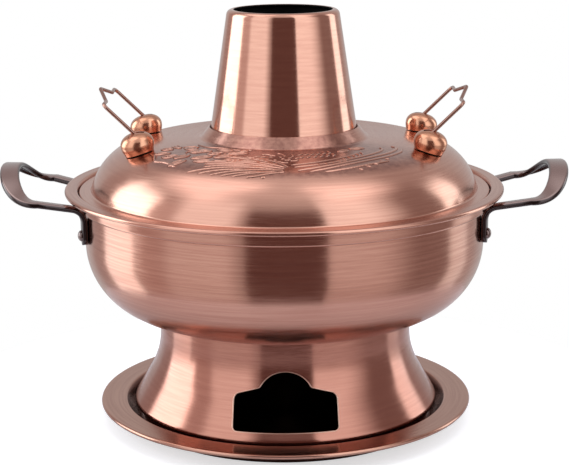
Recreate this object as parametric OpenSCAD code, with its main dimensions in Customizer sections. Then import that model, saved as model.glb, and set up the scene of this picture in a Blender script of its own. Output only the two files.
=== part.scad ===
// Chimney hot pot: a spun-metal pan on a waisted stand, with a charcoal tube up its middle.
// Origin at the centre of the tray's underside, +X to the right-hand handle, +Z up, millimetres.

/* [Tray] */
// Width of the tray's flat flange, from the well's edge to the outside of its rolled rim
tray_flange_w = 18.7; // [14:0.1:30]
// Height of the tray's flat flange above the table
tray_h = 16.2; // [12:0.1:22]
// Gap between the stand's foot roll and the flange's inner edge, where the well begins
well_gap = 3.2; // [2:0.1:6]
// Distance from the stand's foot ring to the corner between the well's floor and its wall
floor_gap = 2; // [1.5:0.1:4]
// Thickness of the tray's sheet
tray_t = 1; // [0.8:0.1:1.4]
// Radius of the roll on the tray's rim
tray_bead_r = 1.6; // [1.2:0.1:2.2]

/* [Stand] */
// Outer radius of the stand's upright neck
stand_r = 92.8; // [88:0.1:96]
// Height of the stand, from the tray's floor to the pan
stand_h = 79.8; // [74:0.1:90]
// Height above the tray's floor at which the neck starts to flare
flare_start = 66; // [62:0.5:70]
// Radius of the flare, seen in section
flare_r = 59; // [50:1:70]
// Lean of the stand's skirt below the flare, in degrees
flare_lean = 30; // [27:1:32]
// Radius of the roll at the stand's foot
stand_bead_r = 4.5; // [3.5:0.1:5]
// Height of the foot roll's underside above the tray's floor
stand_bead_h = 9.9; // [8:0.1:12]
// Distance inwards from the foot roll's edge to the ring that stands in the tray's well
foot_in = 9.1; // [7.5:0.1:10.5]
// Thickness of the stand's sheet
stand_t = 1; // [0.8:0.1:1.4]

/* [Fire door] */
// Width of the fire door at its sill
door_w = 74.6; // [60:0.2:80]
// How much narrower the door is at its shoulders, on each side
door_draw = 1.1; // [0:0.1:3]
// Height of the sill above the tray's floor
door_sill = 20.4; // [18:0.1:24]
// Height of the shoulders' outer corners above the tray's floor
door_side_h = 43.5; // [38:0.1:46]
// Slope of the shoulders, in degrees
door_slope = 16; // [8:1:22]
// Height of the arch's top above the tray's floor
door_top = 60; // [56:0.1:64]
// Radius of the arch
door_arch_r = 20; // [17:0.2:23]
// Radius of the door's upper corners
door_corner_r = 6; // [3:0.5:7]
// Radius of the door's lower corners
door_sill_r = 3; // [2:0.5:4]
// Radius of the inner corners between arch and shoulders
door_neck_r = 3; // [2:0.5:4]

/* [Pan] */
// Outer radius of the pan's wall
bowl_r = 146; // [142:0.5:150]
// Radius of the pan's rounded side, seen in section
bowl_round_r = 53.7; // [48:0.1:58]
// Radius of the pan's nearly flat bottom, seen in section
bowl_floor_r = 400; // [300:10:600]
// Height of the upright wall, from the rounded side to the lid's ledge
bowl_wall_h = 27; // [22:0.5:34]
// Width of the ledge that the lid stands on
ledge_w = 2; // [2:0.1:2.4]
// Height of the leaning band from the ledge to the rim's top
band_h = 12.7; // [11.5:0.1:14]
// How far the band leans out over its height
band_lean = 3.9; // [3:0.1:4.4]
// Outer radius of the pan over its rolled rim, past the wall
rim_w = 14; // [12:0.1:16]
// Radius of the roll on the pan's rim
rim_bead_r = 1.7; // [1.3:0.1:2]
// Thickness of the pan's sheet
bowl_t = 0.8; // [0.6:0.1:0.9]

/* [Fire tube] */
// Height of the chimney's mouth above the pan's rim
chimney_h = 127.8; // [100:0.2:150]
// Outer radius of the chimney at its top, before the curl
chimney_r = 40.2; // [36:0.1:44]
// How much the tube widens per millimetre downwards
tube_taper = 0.15; // [0.13:0.005:0.16]
// Radius of the chimney's open mouth
mouth_r = 35.7; // [30:0.1:36]
// Radius of the curl that turns the mouth in
mouth_curl = 4; // [2:0.1:4.5]
// Drop of the mouth's edge below the chimney's top
mouth_drop = 0.5; // [0:0.1:1]
// How far the tube reaches below the pan's bottom
tube_reach = 4.5; // [3:0.1:8]
// Thickness of the tube's sheet
tube_t = 1; // [0.8:0.1:1.4]

/* [Grate] */
// Thickness of the charcoal grate
grate_t = 2; // [1.5:0.1:4]
// Width of the grate's slots
grate_slot_w = 5; // [3:0.5:6]
// Distance between the middles of two slots
grate_pitch = 9; // [7.5:0.5:12]
// Width of the grate's closed border
grate_border = 8; // [6:0.5:12]
// Width of the ring under the grate
ring_w = 6; // [4:0.5:8]
// Thickness of the ring under the grate
ring_t = 2; // [1.5:0.1:3]

/* [Lid] */
// Radius of the lid's rounded shoulder, seen in section
lid_round_r = 43.9; // [40:0.1:47]
// Radius of the lid's nearly flat top, seen in section
lid_crown_r = 1220; // [900:10:1600]
// Height of the lid's flange above the ledge
lid_flange_h = 10.2; // [9.5:0.1:10.8]
// Depth of the lid's skirt behind the flange's outer edge
lid_hem_w = 2.8; // [2:0.1:3]
// Distance from the skirt's outside in to the foot of the dome
lid_foot_in = 5.7; // [5:0.1:8]
// How far the dome's wall leans from upright at its foot, in degrees
lid_foot_lean = 12.6; // [8:0.1:16]
// Height of the collar round the chimney
collar_h = 8; // [6:0.1:10]
// How far the collar's foot lies outside its top
collar_w = 6.6; // [5:0.1:8]
// Gap between the collar and the chimney
collar_gap = 0.6; // [0.5:0.1:1]
// Gap between the lid's skirt and the pan's band
lid_side_gap = 0.5; // [0.4:0.05:0.6]
// Thickness of the lid's sheet
lid_t = 0.8; // [0.6:0.1:0.9]

/* [Knobs] */
// Lean of each knob outwards, as it stands on the lid's rounded shoulder, in degrees
knob_lean = 14.84; // [12:0.1:20]
// Direction of each knob from the handles' line, in degrees
knob_turn = 21; // [18:0.5:24]
// Radius of a knob
knob_r = 12; // [11:0.1:13]
// Height of a knob above the lid
knob_h = 14; // [13.5:0.1:15]
// Radius that rounds a knob's shoulder
knob_round_r = 7.5; // [6:0.1:8]
// Fall of a knob's top from its middle to its edge
knob_fall = 1.6; // [1:0.1:2]
// Thickness of the gasket between knob and lid
gasket_t = 0.6; // [0.5:0.1:0.8]
// Radius of the gasket
gasket_r = 8.5; // [7:0.1:9.5]
// Radius of the knob's screw
screw_r = 2; // [1.5:0.1:2.2]
// Depth of the screw in the knob, from the lid
screw_reach = 6.8; // [5:0.1:7]

/* [Bails] */
// Radius of the bail's wire
wire_r = 1.15; // [1:0.05:1.25]
// Gap round the wire in its bearing
pin_gap = 0.05; // [0.03:0.01:0.08]
// Place of the pivot outwards from the middle of the knob's foot
pivot_out = 0.5; // [0:0.1:0.8]
// Height of the pivot above the knob's foot
pivot_up = 10.4; // [10.2:0.1:10.6]
// Place of the leg across the knob, from the middle of its foot
pivot_across = 0.9; // [0.6:0.1:1.2]
// Length of a bail's legs from the pivot
bail_leg = 33.3; // [28:0.1:40]
// Distance of each dip in the bail's grip from the bail's middle
bail_dip_y = 22; // [18:0.5:26]
// Depth of the dips below the legs' length
bail_dip = 0.3; // [0:0.1:0.6]
// Height of the grip's peak above the legs' length
bail_peak = 8.5; // [6:0.1:11]
// Lean of the bail outwards where it rests, in degrees from upright
bail_lean = 46; // [40:1:50]
// Lean of the bail inwards at its other stop, in degrees from upright
bail_lean_in = 34; // [28:1:36]
// Radius of the bends at the ends of the grip
bail_bend_r = 4; // [3:0.1:5]
// Length of the straight pin at the end of the wire
pin_len = 3.2; // [2.6:0.1:3.6]

/* [Handles] */
// Direction of each handle foot from the handles' line, in degrees
foot_turn = 15.6; // [13:0.1:18]
// Thickness of the handle's strap
strap_t = 4.2; // [3.5:0.1:5]
// Width of the strap at its feet
strap_w = 10; // [8:0.1:12]
// Width of the strap at the middle of the grip
grip_w = 14; // [11:0.1:16]
// Depth of the channel in the strap's underside
channel_d = 2.2; // [1.2:0.1:2.6]
// Thickness of the channel's side walls
channel_wall = 2.2; // [1.5:0.1:3]
// Height of the foot's lower end below the lid's ledge
foot_low = 23.3; // [20:0.1:26]
// Height of the strap's first bend below the lid's ledge
foot_bend = 7.3; // [7:0.1:9]
// Radius of the first bend on its outer side
foot_bend_r = 13; // [11:0.1:14]
// Distance from the wall, along the arm, to the start of the grip's curve
arm_len = 34.6; // [30:0.1:40]
// Rise of the arm from the first bend's start to the start of the curve
arm_rise = 17.5; // [16.5:0.1:19]
// How far the grip's middle reaches past the start of the curve
grip_reach = 25.3; // [20:0.1:30]
// Rise of the grip's middle above the start of the curve
grip_rise = 18.3; // [12:0.1:24]
// Fullness of the grip's corners: 2 is a plain ellipse
grip_fullness = 2.3; // [2:0.05:3]
// Height of the rivets below the lid's ledge
rivet_low = 16.6; // [15:0.1:18]
// Radius of a rivet's shank
rivet_r = 2.1; // [1.5:0.1:2.5]
// Radius of a rivet's domed head
rivet_head_r = 4; // [3.2:0.1:4.5]
// Height of a rivet's domed head
rivet_head_h = 2.8; // [1.5:0.1:3]
// Thickness of the washer under a rivet's inner end
burr_t = 0.8; // [0.5:0.1:1]

/* [Hidden] */

copper = [0.74, 0.47, 0.39];
bright_copper = [0.82, 0.50, 0.38];
dark_bronze = [0.33, 0.24, 0.23];
iron = [0.25, 0.24, 0.24];
steel = [0.70, 0.70, 0.72];
black_rubber = [0.10, 0.10, 0.10];

turn_fn = 120;          // facets round the pot where a preview needs them
small_fn = 48;
arc_step = 6;           // degrees between the points of a rounded profile
weld_gap = 0.04;        // seam between two pieces that are welded or riveted together
sagitta_gap = 0.12;     // clearance of a flat piece on the pan's round wall
big = 400;

floor_z = tray_t;
stand_top = floor_z + stand_h;
flare_z = floor_z + flare_start;
flare_end = [stand_r + flare_r * (1 - cos(flare_lean)), flare_z - flare_r * sin(flare_lean)];
bead_low = floor_z + stand_bead_h;
stand_edge_r = flare_end[0] + tan(flare_lean) * (flare_end[1] - bead_low);
foot_r = stand_edge_r - foot_in;
tray_floor_r = foot_r + floor_gap;
tray_well_r = stand_edge_r + well_gap;
tray_r = tray_well_r + tray_flange_w;
crown_z = stand_top + weld_gap + sqrt(pow(bowl_floor_r, 2) - pow(stand_r - stand_t, 2));
round_z = crown_z - sqrt(pow(bowl_floor_r - bowl_round_r, 2) - pow(bowl_r - bowl_round_r, 2));
ledge_under = round_z + bowl_wall_h;
ledge_z = ledge_under + bowl_t;
rim_top = ledge_under + band_h;
rim_r = bowl_r + rim_w;

tube_top = rim_top + chimney_h;
function tube_r(z) = chimney_r + (tube_top - z) * tube_taper;
function pan_under(r) = crown_z - sqrt(pow(bowl_floor_r, 2) - r * r);
tube_guess = tube_r(pan_under(stand_r));
tube_foot = pan_under(tube_guess) - tube_reach;
grate_z = pan_under(tube_guess) + ring_t;

skirt_r = bowl_r + ledge_w - bowl_t - lid_side_gap;
flange_z = ledge_z + lid_flange_h;
lid_foot_r = skirt_r - lid_foot_in;
lid_round_x = lid_foot_r - lid_round_r * cos(lid_foot_lean);
lid_round_z = flange_z - lid_round_r * sin(lid_foot_lean);
lid_crown_z = lid_round_z - sqrt(pow(lid_crown_r - lid_round_r, 2) - pow(lid_round_x, 2));
lid_tangent = atan2(lid_round_z - lid_crown_z, lid_round_x);
function crown_top(r) = lid_crown_z + sqrt(pow(lid_crown_r, 2) - r * r);
collar_top = crown_top(tube_r(flange_z)) + collar_h;
collar_r = tube_r(collar_top) + collar_gap + lid_t;
collar_foot_r = collar_r + collar_w;

knob_place_r = lid_round_x + lid_round_r * sin(knob_lean);
knob_x = knob_place_r * cos(knob_turn);
knob_y = knob_place_r * sin(knob_turn);
knob_z = lid_round_z + lid_round_r * cos(knob_lean);
pivot_x = knob_x + pivot_out;
pivot_z = knob_z + pivot_up;
leg_y = knob_y + pivot_across;
slot_half = 1.7;        // half the width of the slot that a leg swings in
hook_r = 1.6;           // radius of the bend between leg and pin
bore_end = 0.3;         // space past the end of the pin
wire_sides = 12;        // sides of the wire where it bends

foot_face = bowl_r + sagitta_gap;
foot_z0 = ledge_under - foot_low;
bend_z = ledge_under - foot_bend;
rivet_z = ledge_under - rivet_low;

// ---- Profiles -----------------------------------------------------------------------------

// Points on an arc round [x, y], from angle a to angle b
function arc(x, y, r, a, b) =
    let (n = max(2, ceil(abs(b - a) / arc_step)))
    [for (i = [0:n]) let (t = a + (b - a) * i / n) [x + r * cos(t), y + r * sin(t)]];
function unit(v) = v / norm(v);
function turned(v) = [-v[1], v[0]];
function wrap(a) = a > 180 ? a - 360 : a < -180 ? a + 360 : a;

// A bend of radius r at corner b between a and c: centre, first angle and sweep
function bend(a, b, c, r) =
    let (u = unit(a - b), v = unit(c - b), half = acos(u * v) / 2)
    let (m = b + unit(u + v) * r / sin(half))
    let (p = b + u * r / tan(half) - m, q = b + v * r / tan(half) - m)
    let (first = atan2(p[1], p[0]))
    [m, first, wrap(atan2(q[1], q[0]) - first)];
function bend_points(a, b, c, r) =
    let (k = bend(a, b, c, r)) arc(k[0][0], k[0][1], r, k[1], k[1] + k[2]);

// A path through corners [x, y, radius], with each inner corner rounded to its radius
function plain(c) = [c[0], c[1]];
function is_rounded(c, i) = i > 0 && i < len(c) - 1 && c[i][2] > 0;
function rounded(c) = [for (i = [0:len(c) - 1])
    each is_rounded(c, i)
        ? bend_points(plain(c[i - 1]), plain(c[i]), plain(c[i + 1]), c[i][2])
        : [plain(c[i])]];

// Outline of a sheet of thickness t that lies on the left of a path
function step_dir(p, i) = unit(p[i + 1] - p[i]);
function side(p, i) =
    let (a = turned(step_dir(p, max(i - 1, 0))), b = turned(step_dir(p, min(i, len(p) - 2))))
    let (m = unit(a + b)) m / (m * a);
function beside(p, t) = [for (i = [len(p) - 1:-1:0]) p[i] + t * side(p, i)];
module sheet(p, t) {
    polygon(concat(p, beside(p, t)));
}
module spun() {
    rotate_extrude($fn = turn_fn) children();
}
// Corners of a rim at radius x and height y that curls down and back under itself
function curl(x, y, r) = [[x, y, r * 0.98], [x, y - 2 * r, r * 0.98], [x - r * 1.2, y - 2 * r, 0]];

// ---- Tray ---------------------------------------------------------------------------------

module tray() {
    color(copper) spun() sheet(rounded(concat(
        [[0, tray_t, 0], [tray_floor_r, tray_t, 2.5], [tray_well_r, tray_h, 1.5]],
        curl(tray_r, tray_h, tray_bead_r)
    )), -tray_t);
}

// ---- Stand --------------------------------------------------------------------------------

// The right half of the door's outline, from the sill's middle to the arch's top
function door_half() =
    let (low = floor_z + door_sill, high = floor_z + door_side_h, arch_z = floor_z + door_top - door_arch_r)
    let (side_x = door_w / 2 - door_draw, along = [cos(door_slope), -sin(door_slope)])
    let (up = [sin(door_slope), cos(door_slope)], arch = [0, arch_z], corner = [side_x, high])
    let (lift = (corner - arch) * up + door_neck_r, reach = door_arch_r + door_neck_r)
    let (neck = arch + up * lift + along * sqrt(reach * reach - lift * lift))
    let (touch = neck - up * door_neck_r, out = arch - neck, a = atan2(out[1], out[0]))
    concat(
        rounded([[0, low, 0], [door_w / 2, low, door_sill_r], [side_x, high, door_corner_r],
                 [touch[0], touch[1], 0]]),
        arc(neck[0], neck[1], door_neck_r, -90 - door_slope, a),
        arc(0, arch_z, door_arch_r, a + 180, 90)
    );

module door_cut() {
    right = door_half();
    left = [for (i = [len(right) - 1:-1:1]) [-right[i][0], right[i][1]]];
    rotate([90, 0, 0]) linear_extrude(height = big / 2) polygon(concat(right, left));
}

module stand() {
    flare = arc(stand_r + flare_r, flare_z, flare_r, 180, 180 + flare_lean);
    foot = rounded([
        [flare_end[0], flare_end[1], 0], [stand_edge_r, bead_low, stand_bead_r], [foot_r, bead_low, 0.8],
        [foot_r, floor_z, 0]
    ]);
    path = concat([[stand_r, stand_top]], flare, [for (i = [1:len(foot) - 1]) foot[i]]);
    color(copper) difference() {
        spun() sheet(path, -stand_t);
        door_cut();
    }
}

// ---- Pan ----------------------------------------------------------------------------------

// Half-section of the tube's outside, with a gap, to cut the hole that it passes through
module tube_section(gap) {
    low = tube_foot - 10;
    high = tube_foot + 40;
    polygon([[0, low], [tube_r(low) + gap, low], [tube_r(high) + gap, high], [0, high]]);
}

module at_rivets(side_x) {
    mirror([side_x < 0 ? 1 : 0, 0, 0])
        for (s = [-1, 1]) rotate([0, 0, s * foot_turn]) translate([0, 0, rivet_z]) rotate([0, 90, 0]) children();
}

module bowl() {
    round_x = bowl_r - bowl_round_r;
    touch = atan2(round_z - crown_z, round_x);
    start = -90 + asin((tube_guess - 5) / bowl_floor_r);
    floor_arc = arc(0, crown_z, bowl_floor_r - bowl_t, start, touch);
    side_arc = arc(round_x, round_z, bowl_round_r - bowl_t, touch, 0);
    band_x = bowl_r + ledge_w;
    // The band's inner side, then the rim's top side down to the curl
    band = rounded(concat(
        [[bowl_r - bowl_t, round_z, 0], [bowl_r - bowl_t, ledge_z, 1], [band_x - bowl_t, ledge_z, 0.4],
         [band_x - bowl_t + band_lean, rim_top, 2]],
        curl(rim_r, rim_top, rim_bead_r)
    ));
    path = concat(floor_arc, [for (i = [1:len(side_arc) - 1]) side_arc[i]], [for (i = [1:len(band) - 1]) band[i]]);
    color(copper) difference() {
        spun() difference() {
            sheet(path, -bowl_t);
            tube_section(weld_gap);
        }
        for (s = [-1, 1]) at_rivets(s) translate([0, 0, bowl_r - 10])
            cylinder(r = rivet_r + weld_gap, h = 20, $fn = small_fn);
    }
}

// ---- Fire tube and grate ------------------------------------------------------------------

module fire_tube() {
    path = rounded([
        [tube_r(tube_foot), tube_foot, 0], [chimney_r, tube_top, mouth_curl],
        [mouth_r, tube_top - mouth_drop, 0]
    ]);
    color(copper) spun() sheet(path, tube_t);
}

module grate_ring() {
    low = grate_z - ring_t;
    out_low = tube_r(low) - tube_t - weld_gap - 0.01;
    out_high = tube_r(grate_z) - tube_t - weld_gap - 0.01;
    color(iron) spun()
        polygon([[out_low - ring_w, low], [out_low, low], [out_high, grate_z], [out_low - ring_w, grate_z]]);
}

module grate() {
    plate_r = tube_r(grate_z + grate_t) - tube_t - 0.3;
    open_r = plate_r - grate_border;
    rows = floor(open_r / grate_pitch);
    color(iron) translate([0, 0, grate_z]) difference() {
        cylinder(r = plate_r, h = grate_t, $fn = turn_fn);
        for (i = [-rows:rows]) {
            half_len = sqrt(open_r * open_r - pow(i * grate_pitch, 2)) - grate_slot_w / 2;
            if (half_len > grate_slot_w)
                translate([-half_len, i * grate_pitch - grate_slot_w / 2, -1])
                    cube([2 * half_len, grate_slot_w, grate_t + 2]);
        }
    }
}

// ---- Handles ------------------------------------------------------------------------------

// Start of the grip's curve: distance along the arm from the pot's axis, and height
curve_r = foot_face + arm_len;
curve_z = bend_z + arm_rise;
bend_x = foot_face + foot_bend_r;
bend_span = norm([curve_r - bend_x, curve_z - bend_z]);
arm_slope = atan2(curve_z - bend_z, curve_r - bend_x) - asin(foot_bend_r / bend_span);

// Stations along half a handle, each [radius or [x, y], z, plan direction, steepness, width, channel]
function foot_width(z) =
    let (d = max(0, foot_z0 + strap_w / 2 - z) * 2 / strap_w)
    strap_w * sqrt(max(0.12, 1 - d * d));
function polar(r) = [r * cos(foot_turn), r * sin(foot_turn)];
foot_stations = [for (z = [0, 0.4, 1.2, 2.6, 5, 10, foot_low - foot_bend])
    [polar(foot_face), foot_z0 + z, foot_turn, 90, foot_width(foot_z0 + z), 0]];
bend_stations = [for (i = [1:7])
    let (a = 180 - (90 - arm_slope) * i / 7)
    [polar(bend_x + foot_bend_r * cos(a)), bend_z + foot_bend_r * sin(a), foot_turn, a - 90, strap_w, i / 7]];
arm_end = bend_stations[6];
arm_stations = [for (f = [0.5])
    [(1 - f) * arm_end[0] + f * polar(curve_r), (1 - f) * arm_end[1] + f * curve_z,
     foot_turn, arm_slope, strap_w, 1]];

// The grip: a superellipse in plan that rises to its middle like a parabola
curve_at = polar(curve_r);
function bow_xy(t) = [
    curve_at[0] + grip_reach * pow(cos(t), 2 / grip_fullness),
    curve_at[1] * pow(sin(t), 2 / grip_fullness)
];
function bow_z(t) = curve_z + grip_rise * (1 - pow(bow_xy(t)[1] / curve_at[1], 2));
function bow_point(t) = [bow_xy(t)[0], bow_xy(t)[1], bow_z(t)];
bow_n = 18;
bow_stations = [for (i = [1:bow_n])
    let (t = 90 * (1 - pow(i / bow_n, 1.15)), before = bow_point(min(90, t + 1)), after = bow_point(max(0, t - 1)))
    let (v = after - before, middle = i == bow_n)
    [bow_xy(t), bow_z(t), middle ? -90 : atan2(v[1], v[0]), middle ? 0 : atan2(v[2], norm([v[0], v[1]])),
     strap_w + (grip_w - strap_w) * (bow_xy(t)[0] - curve_at[0]) / grip_reach, 1]];
start_station = [[curve_at, curve_z, foot_turn, arm_slope, strap_w, 1]];
half_stations = concat(foot_stations, bend_stations, arm_stations, start_station, bow_stations);

// The strap's section: width across, depth from the face that lies on the wall
function strap_section(w, deep) =
    let (h = w / 2, c = 0.9, g = max(h - channel_wall, 0.3), d = max(0.05, channel_d * deep))
    [[-h + c, 0], [h - c, 0], [h, c], [h, strap_t - c], [h - c, strap_t], [g, strap_t],
     [g * 0.82, strap_t - d], [-g * 0.82, strap_t - d], [-g, strap_t], [-h + c, strap_t],
     [-h, strap_t - c], [-h, c]];
function ring(s, m) =
    let (psi = s[2], beta = s[3], across = [-sin(psi), cos(psi), 0])
    let (along = [cos(beta) * cos(psi), cos(beta) * sin(psi), sin(beta)], out = cross(along, across))
    [for (q = strap_section(s[4], s[5]))
        let (p = [s[0][0], s[0][1], s[1]] + across * q[0] - out * q[1]) [p[0], m * p[1], p[2]]];

// Faces of a closed tube through n rings of k points
function tube_faces(n, k) = concat(
    [for (i = [0:n - 2]) for (j = [0:k - 1])
        let (a = i * k + j, b = i * k + (j + 1) % k)
        each [[a, b, a + k], [b, b + k, a + k]]],
    [[for (j = [k - 1:-1:0]) j], [for (j = [0:k - 1]) (n - 1) * k + j]]
);

module handle_right() {
    n = len(half_stations);
    near = [for (i = [0:n - 1]) ring(half_stations[i], 1)];
    far = [for (i = [n - 2:-1:0]) ring(half_stations[i], -1)];
    rings = concat(near, far);
    k = len(strap_section(strap_w, 1));
    points = [for (r = rings) each r];
    color(dark_bronze) difference() {
        polyhedron(points = points, faces = tube_faces(len(rings), k), convexity = 6);
        at_rivets(1) translate([0, 0, bowl_r - 2])
            cylinder(r = rivet_r + weld_gap, h = strap_t + 4, $fn = small_fn);
    }
}

module handle_left() {
    mirror([1, 0, 0]) handle_right();
}

module rivets(side_x) {
    head_z = foot_face + strap_t + weld_gap;
    cap_r = (pow(rivet_head_r, 2) + pow(rivet_head_h, 2)) / (2 * rivet_head_h);
    inside = bowl_r - bowl_t - sagitta_gap - burr_t - 2 * weld_gap;
    color(dark_bronze) at_rivets(side_x) {
        translate([0, 0, inside - 1]) cylinder(r = rivet_r, h = head_z - inside + 1.5, $fn = small_fn);
        translate([0, 0, inside - 1]) cylinder(r = rivet_r + 1, h = 1, $fn = small_fn);
        intersection() {
            translate([0, 0, head_z + rivet_head_h - cap_r]) sphere(r = cap_r, $fn = small_fn);
            translate([0, 0, head_z]) cylinder(r = rivet_head_r + 1, h = rivet_head_h + 1, $fn = small_fn);
        }
    }
}
module handle_left_rivets() {
    rivets(-1);
}
module handle_right_rivets() {
    rivets(1);
}

module rivet_washers() {
    face = bowl_r - bowl_t - sagitta_gap - weld_gap;
    color(steel) for (s = [-1, 1]) at_rivets(s) translate([0, 0, face - burr_t]) difference() {
        cylinder(r = rivet_head_r + 0.5, h = burr_t, $fn = small_fn);
        translate([0, 0, -1]) cylinder(r = rivet_r + weld_gap, h = burr_t + 2, $fn = small_fn);
    }
}

// ---- Lid ----------------------------------------------------------------------------------

// Places a child at a knob's foot, with its +Z along the lid's normal there
module at_knob(side_x, side_y) {
    mirror([side_x < 0 ? 1 : 0, 0, 0]) mirror([0, side_y < 0 ? 1 : 0, 0])
        translate([knob_x, knob_y, knob_z]) rotate([0, knob_lean, knob_turn]) children();
}
module at_knobs() {
    for (sx = [-1, 1]) for (sy = [-1, 1]) at_knob(sx, sy) children();
}

// The outside of the lid's dome, from the collar's foot outwards
crown_arc = arc(0, lid_crown_z, lid_crown_r, acos(collar_foot_r / lid_crown_r), lid_tangent);
shoulder_arc = arc(lid_round_x, lid_round_z, lid_round_r, lid_tangent, lid_foot_lean + 2);
dome = concat(crown_arc, [for (i = [1:len(shoulder_arc) - 1]) shoulder_arc[i]]);

// What lies under the dome's outside, raised by a gap, to fit a seat to it
module under_dome(gap) {
    n = len(dome);
    spun() polygon(concat(beside(dome, gap), [[dome[0][0], lid_round_z], [dome[n - 1][0], lid_round_z]]));
}

module lid() {
    n = len(dome);
    skirt_in = skirt_r - lid_t;
    foot = bend_points(dome[n - 1], [lid_foot_r, flange_z], [skirt_in, flange_z], 1.5);
    collar = bend_points([collar_r, collar_top], dome[0], dome[1], 3);
    path = concat([[collar_r, collar_top]], collar, [for (i = [1:n - 1]) dome[i]], foot, [[skirt_in, flange_z]]);
    // The flange's edge is folded flat under itself and then turned down as the skirt
    edge_r = skirt_r + lid_hem_w;
    fold_z = flange_z - 2 * lid_t;
    hem = rounded([
        [skirt_in, flange_z, 0], [edge_r, flange_z, lid_t * 0.96], [edge_r, fold_z, lid_t * 0.96],
        [skirt_r, fold_z, 0.3], [skirt_r, ledge_z, 0.2], [skirt_in, ledge_z, 0]
    ]);
    color(copper) difference() {
        spun() polygon(concat(path, [for (i = [1:len(hem) - 1]) hem[i]], beside(path, -lid_t)));
        at_knobs() translate([0, 0, -5]) cylinder(r = screw_r + 0.1, h = 10, $fn = small_fn);
    }
}

// Slot for the bail's leg, with a straight stop at each end of its swing
module leg_slot() {
    r = wire_r + 2 * pin_gap;
    out = [sin(bail_lean), cos(bail_lean)];
    in = [-sin(bail_lean_in), cos(bail_lean_in)];
    reach = 12;
    translate([pivot_x, leg_y + slot_half, pivot_z]) rotate([90, 0, 0]) linear_extrude(height = 2 * slot_half) {
        circle(r = r, $fn = small_fn);
        polygon([[0, 0], r * [out[1], -out[0]], r * [out[1], -out[0]] + reach * out,
                 r * [-in[1], in[0]] + reach * in, r * [-in[1], in[0]]]);
    }
}

module knob() {
    top = rounded([
        [0, knob_h, 0], [knob_r, knob_h - knob_fall, knob_round_r], [knob_r, 0.6, 0.8], [knob_r - 2, -3, 0]
    ]);
    color(bright_copper) difference() {
        at_knob(1, 1) rotate_extrude($fn = 96) polygon(concat([[0, -3]], top));
        under_dome(gasket_t + 2 * weld_gap);
        at_knob(1, 1) translate([0, 0, -5]) cylinder(r = screw_r + weld_gap, h = 5 + screw_reach + 0.4, $fn = small_fn);
        leg_slot();
        translate([pivot_x, leg_y, pivot_z]) rotate([-90, 0, 0])
            cylinder(r = wire_r + pin_gap, h = hook_r + pin_len + bore_end, $fn = small_fn);
    }
}
module knob_left_front() {
    mirror([1, 0, 0]) mirror([0, 1, 0]) knob();
}
module knob_left_rear() {
    mirror([1, 0, 0]) knob();
}
module knob_right_front() {
    mirror([0, 1, 0]) knob();
}
module knob_right_rear() {
    knob();
}

module knob_gaskets() {
    color(black_rubber) difference() {
        intersection() {
            under_dome(gasket_t + weld_gap);
            at_knobs() translate([0, 0, -4]) cylinder(r = gasket_r, h = 8, $fn = small_fn);
        }
        under_dome(weld_gap);
        at_knobs() translate([0, 0, -5]) cylinder(r = screw_r + 0.1, h = 10, $fn = small_fn);
    }
}

washer_r = 4.5;
washer_t = 0.8;
// Depth of the lid's hollow side under the rim of a flat washer
washer_drop = lid_t + pow(washer_r, 2) / (2 * (lid_round_r - lid_t)) + weld_gap;

module screw_washers() {
    color(steel) at_knobs() translate([0, 0, -washer_drop - washer_t]) difference() {
        cylinder(r = washer_r, h = washer_t, $fn = small_fn);
        translate([0, 0, -1]) cylinder(r = screw_r + 0.1, h = washer_t + 2, $fn = small_fn);
    }
}

module knob_screws() {
    head_h = 2.2;
    head_r = 3.6;
    seat = -washer_drop - washer_t - weld_gap;
    color(steel) at_knobs() {
        translate([0, 0, seat - 0.1]) cylinder(r = screw_r, h = screw_reach - seat + 0.1, $fn = small_fn);
        translate([0, 0, seat - head_h]) difference() {
            cylinder(r = head_r, h = head_h, $fn = small_fn);
            translate([-head_r - 1, -0.5, -1]) cube([2 * head_r + 2, 1, 2]);
            translate([-0.5, -head_r - 1, -1]) cube([1, 2 * head_r + 2, 2]);
        }
    }
}

// ---- Bails --------------------------------------------------------------------------------

// A round wire of radius r in the XY plane, along a path
module wire(path, r) {
    n = len(path);
    points = [for (i = [0:n - 1]) for (j = [0:wire_sides - 1])
        let (a = 360 * j / wire_sides, p = path[i] + r * cos(a) * side(path, i)) [p[0], p[1], -r * sin(a)]];
    polyhedron(points = points, faces = tube_faces(n, wire_sides), convexity = 8);
}

module bail_right() {
    pin_from = leg_y + hook_r + 0.1;
    half = [
        [pin_from + 0.5, 0, 0], [leg_y, 0, hook_r], [leg_y, bail_leg, bail_bend_r],
        [bail_dip_y, bail_leg - bail_dip, 3]
    ];
    other = [for (i = [3:-1:0]) [-half[i][0], half[i][1], half[i][2]]];
    peak = [[0, bail_leg + bail_peak, 5]];
    color(bright_copper) translate([pivot_x, 0, pivot_z]) rotate([0, bail_lean, 0]) {
        rotate([90, 0, 90]) wire(rounded(concat(half, peak, other)), wire_r * 0.99);
        for (s = [-1, 1]) rotate([-90 * s, 0, 0]) translate([0, 0, pin_from])
            cylinder(r = wire_r, h = pin_len, $fn = small_fn);
    }
}
module bail_left() {
    mirror([1, 0, 0]) bail_right();
}

tray();
stand();
bowl();
fire_tube();
grate_ring();
grate();
handle_left();
handle_right();
handle_left_rivets();
handle_right_rivets();
rivet_washers();
lid();
knob_left_front();
knob_left_rear();
knob_right_front();
knob_right_rear();
knob_gaskets();
knob_screws();
screw_washers();
bail_left();
bail_right();
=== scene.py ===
"""A chimney hot pot in copper-toned brushed steel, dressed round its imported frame."""

import math

import bmesh
import bpy
import numpy as np
from mathutils import Matrix, Vector


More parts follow.
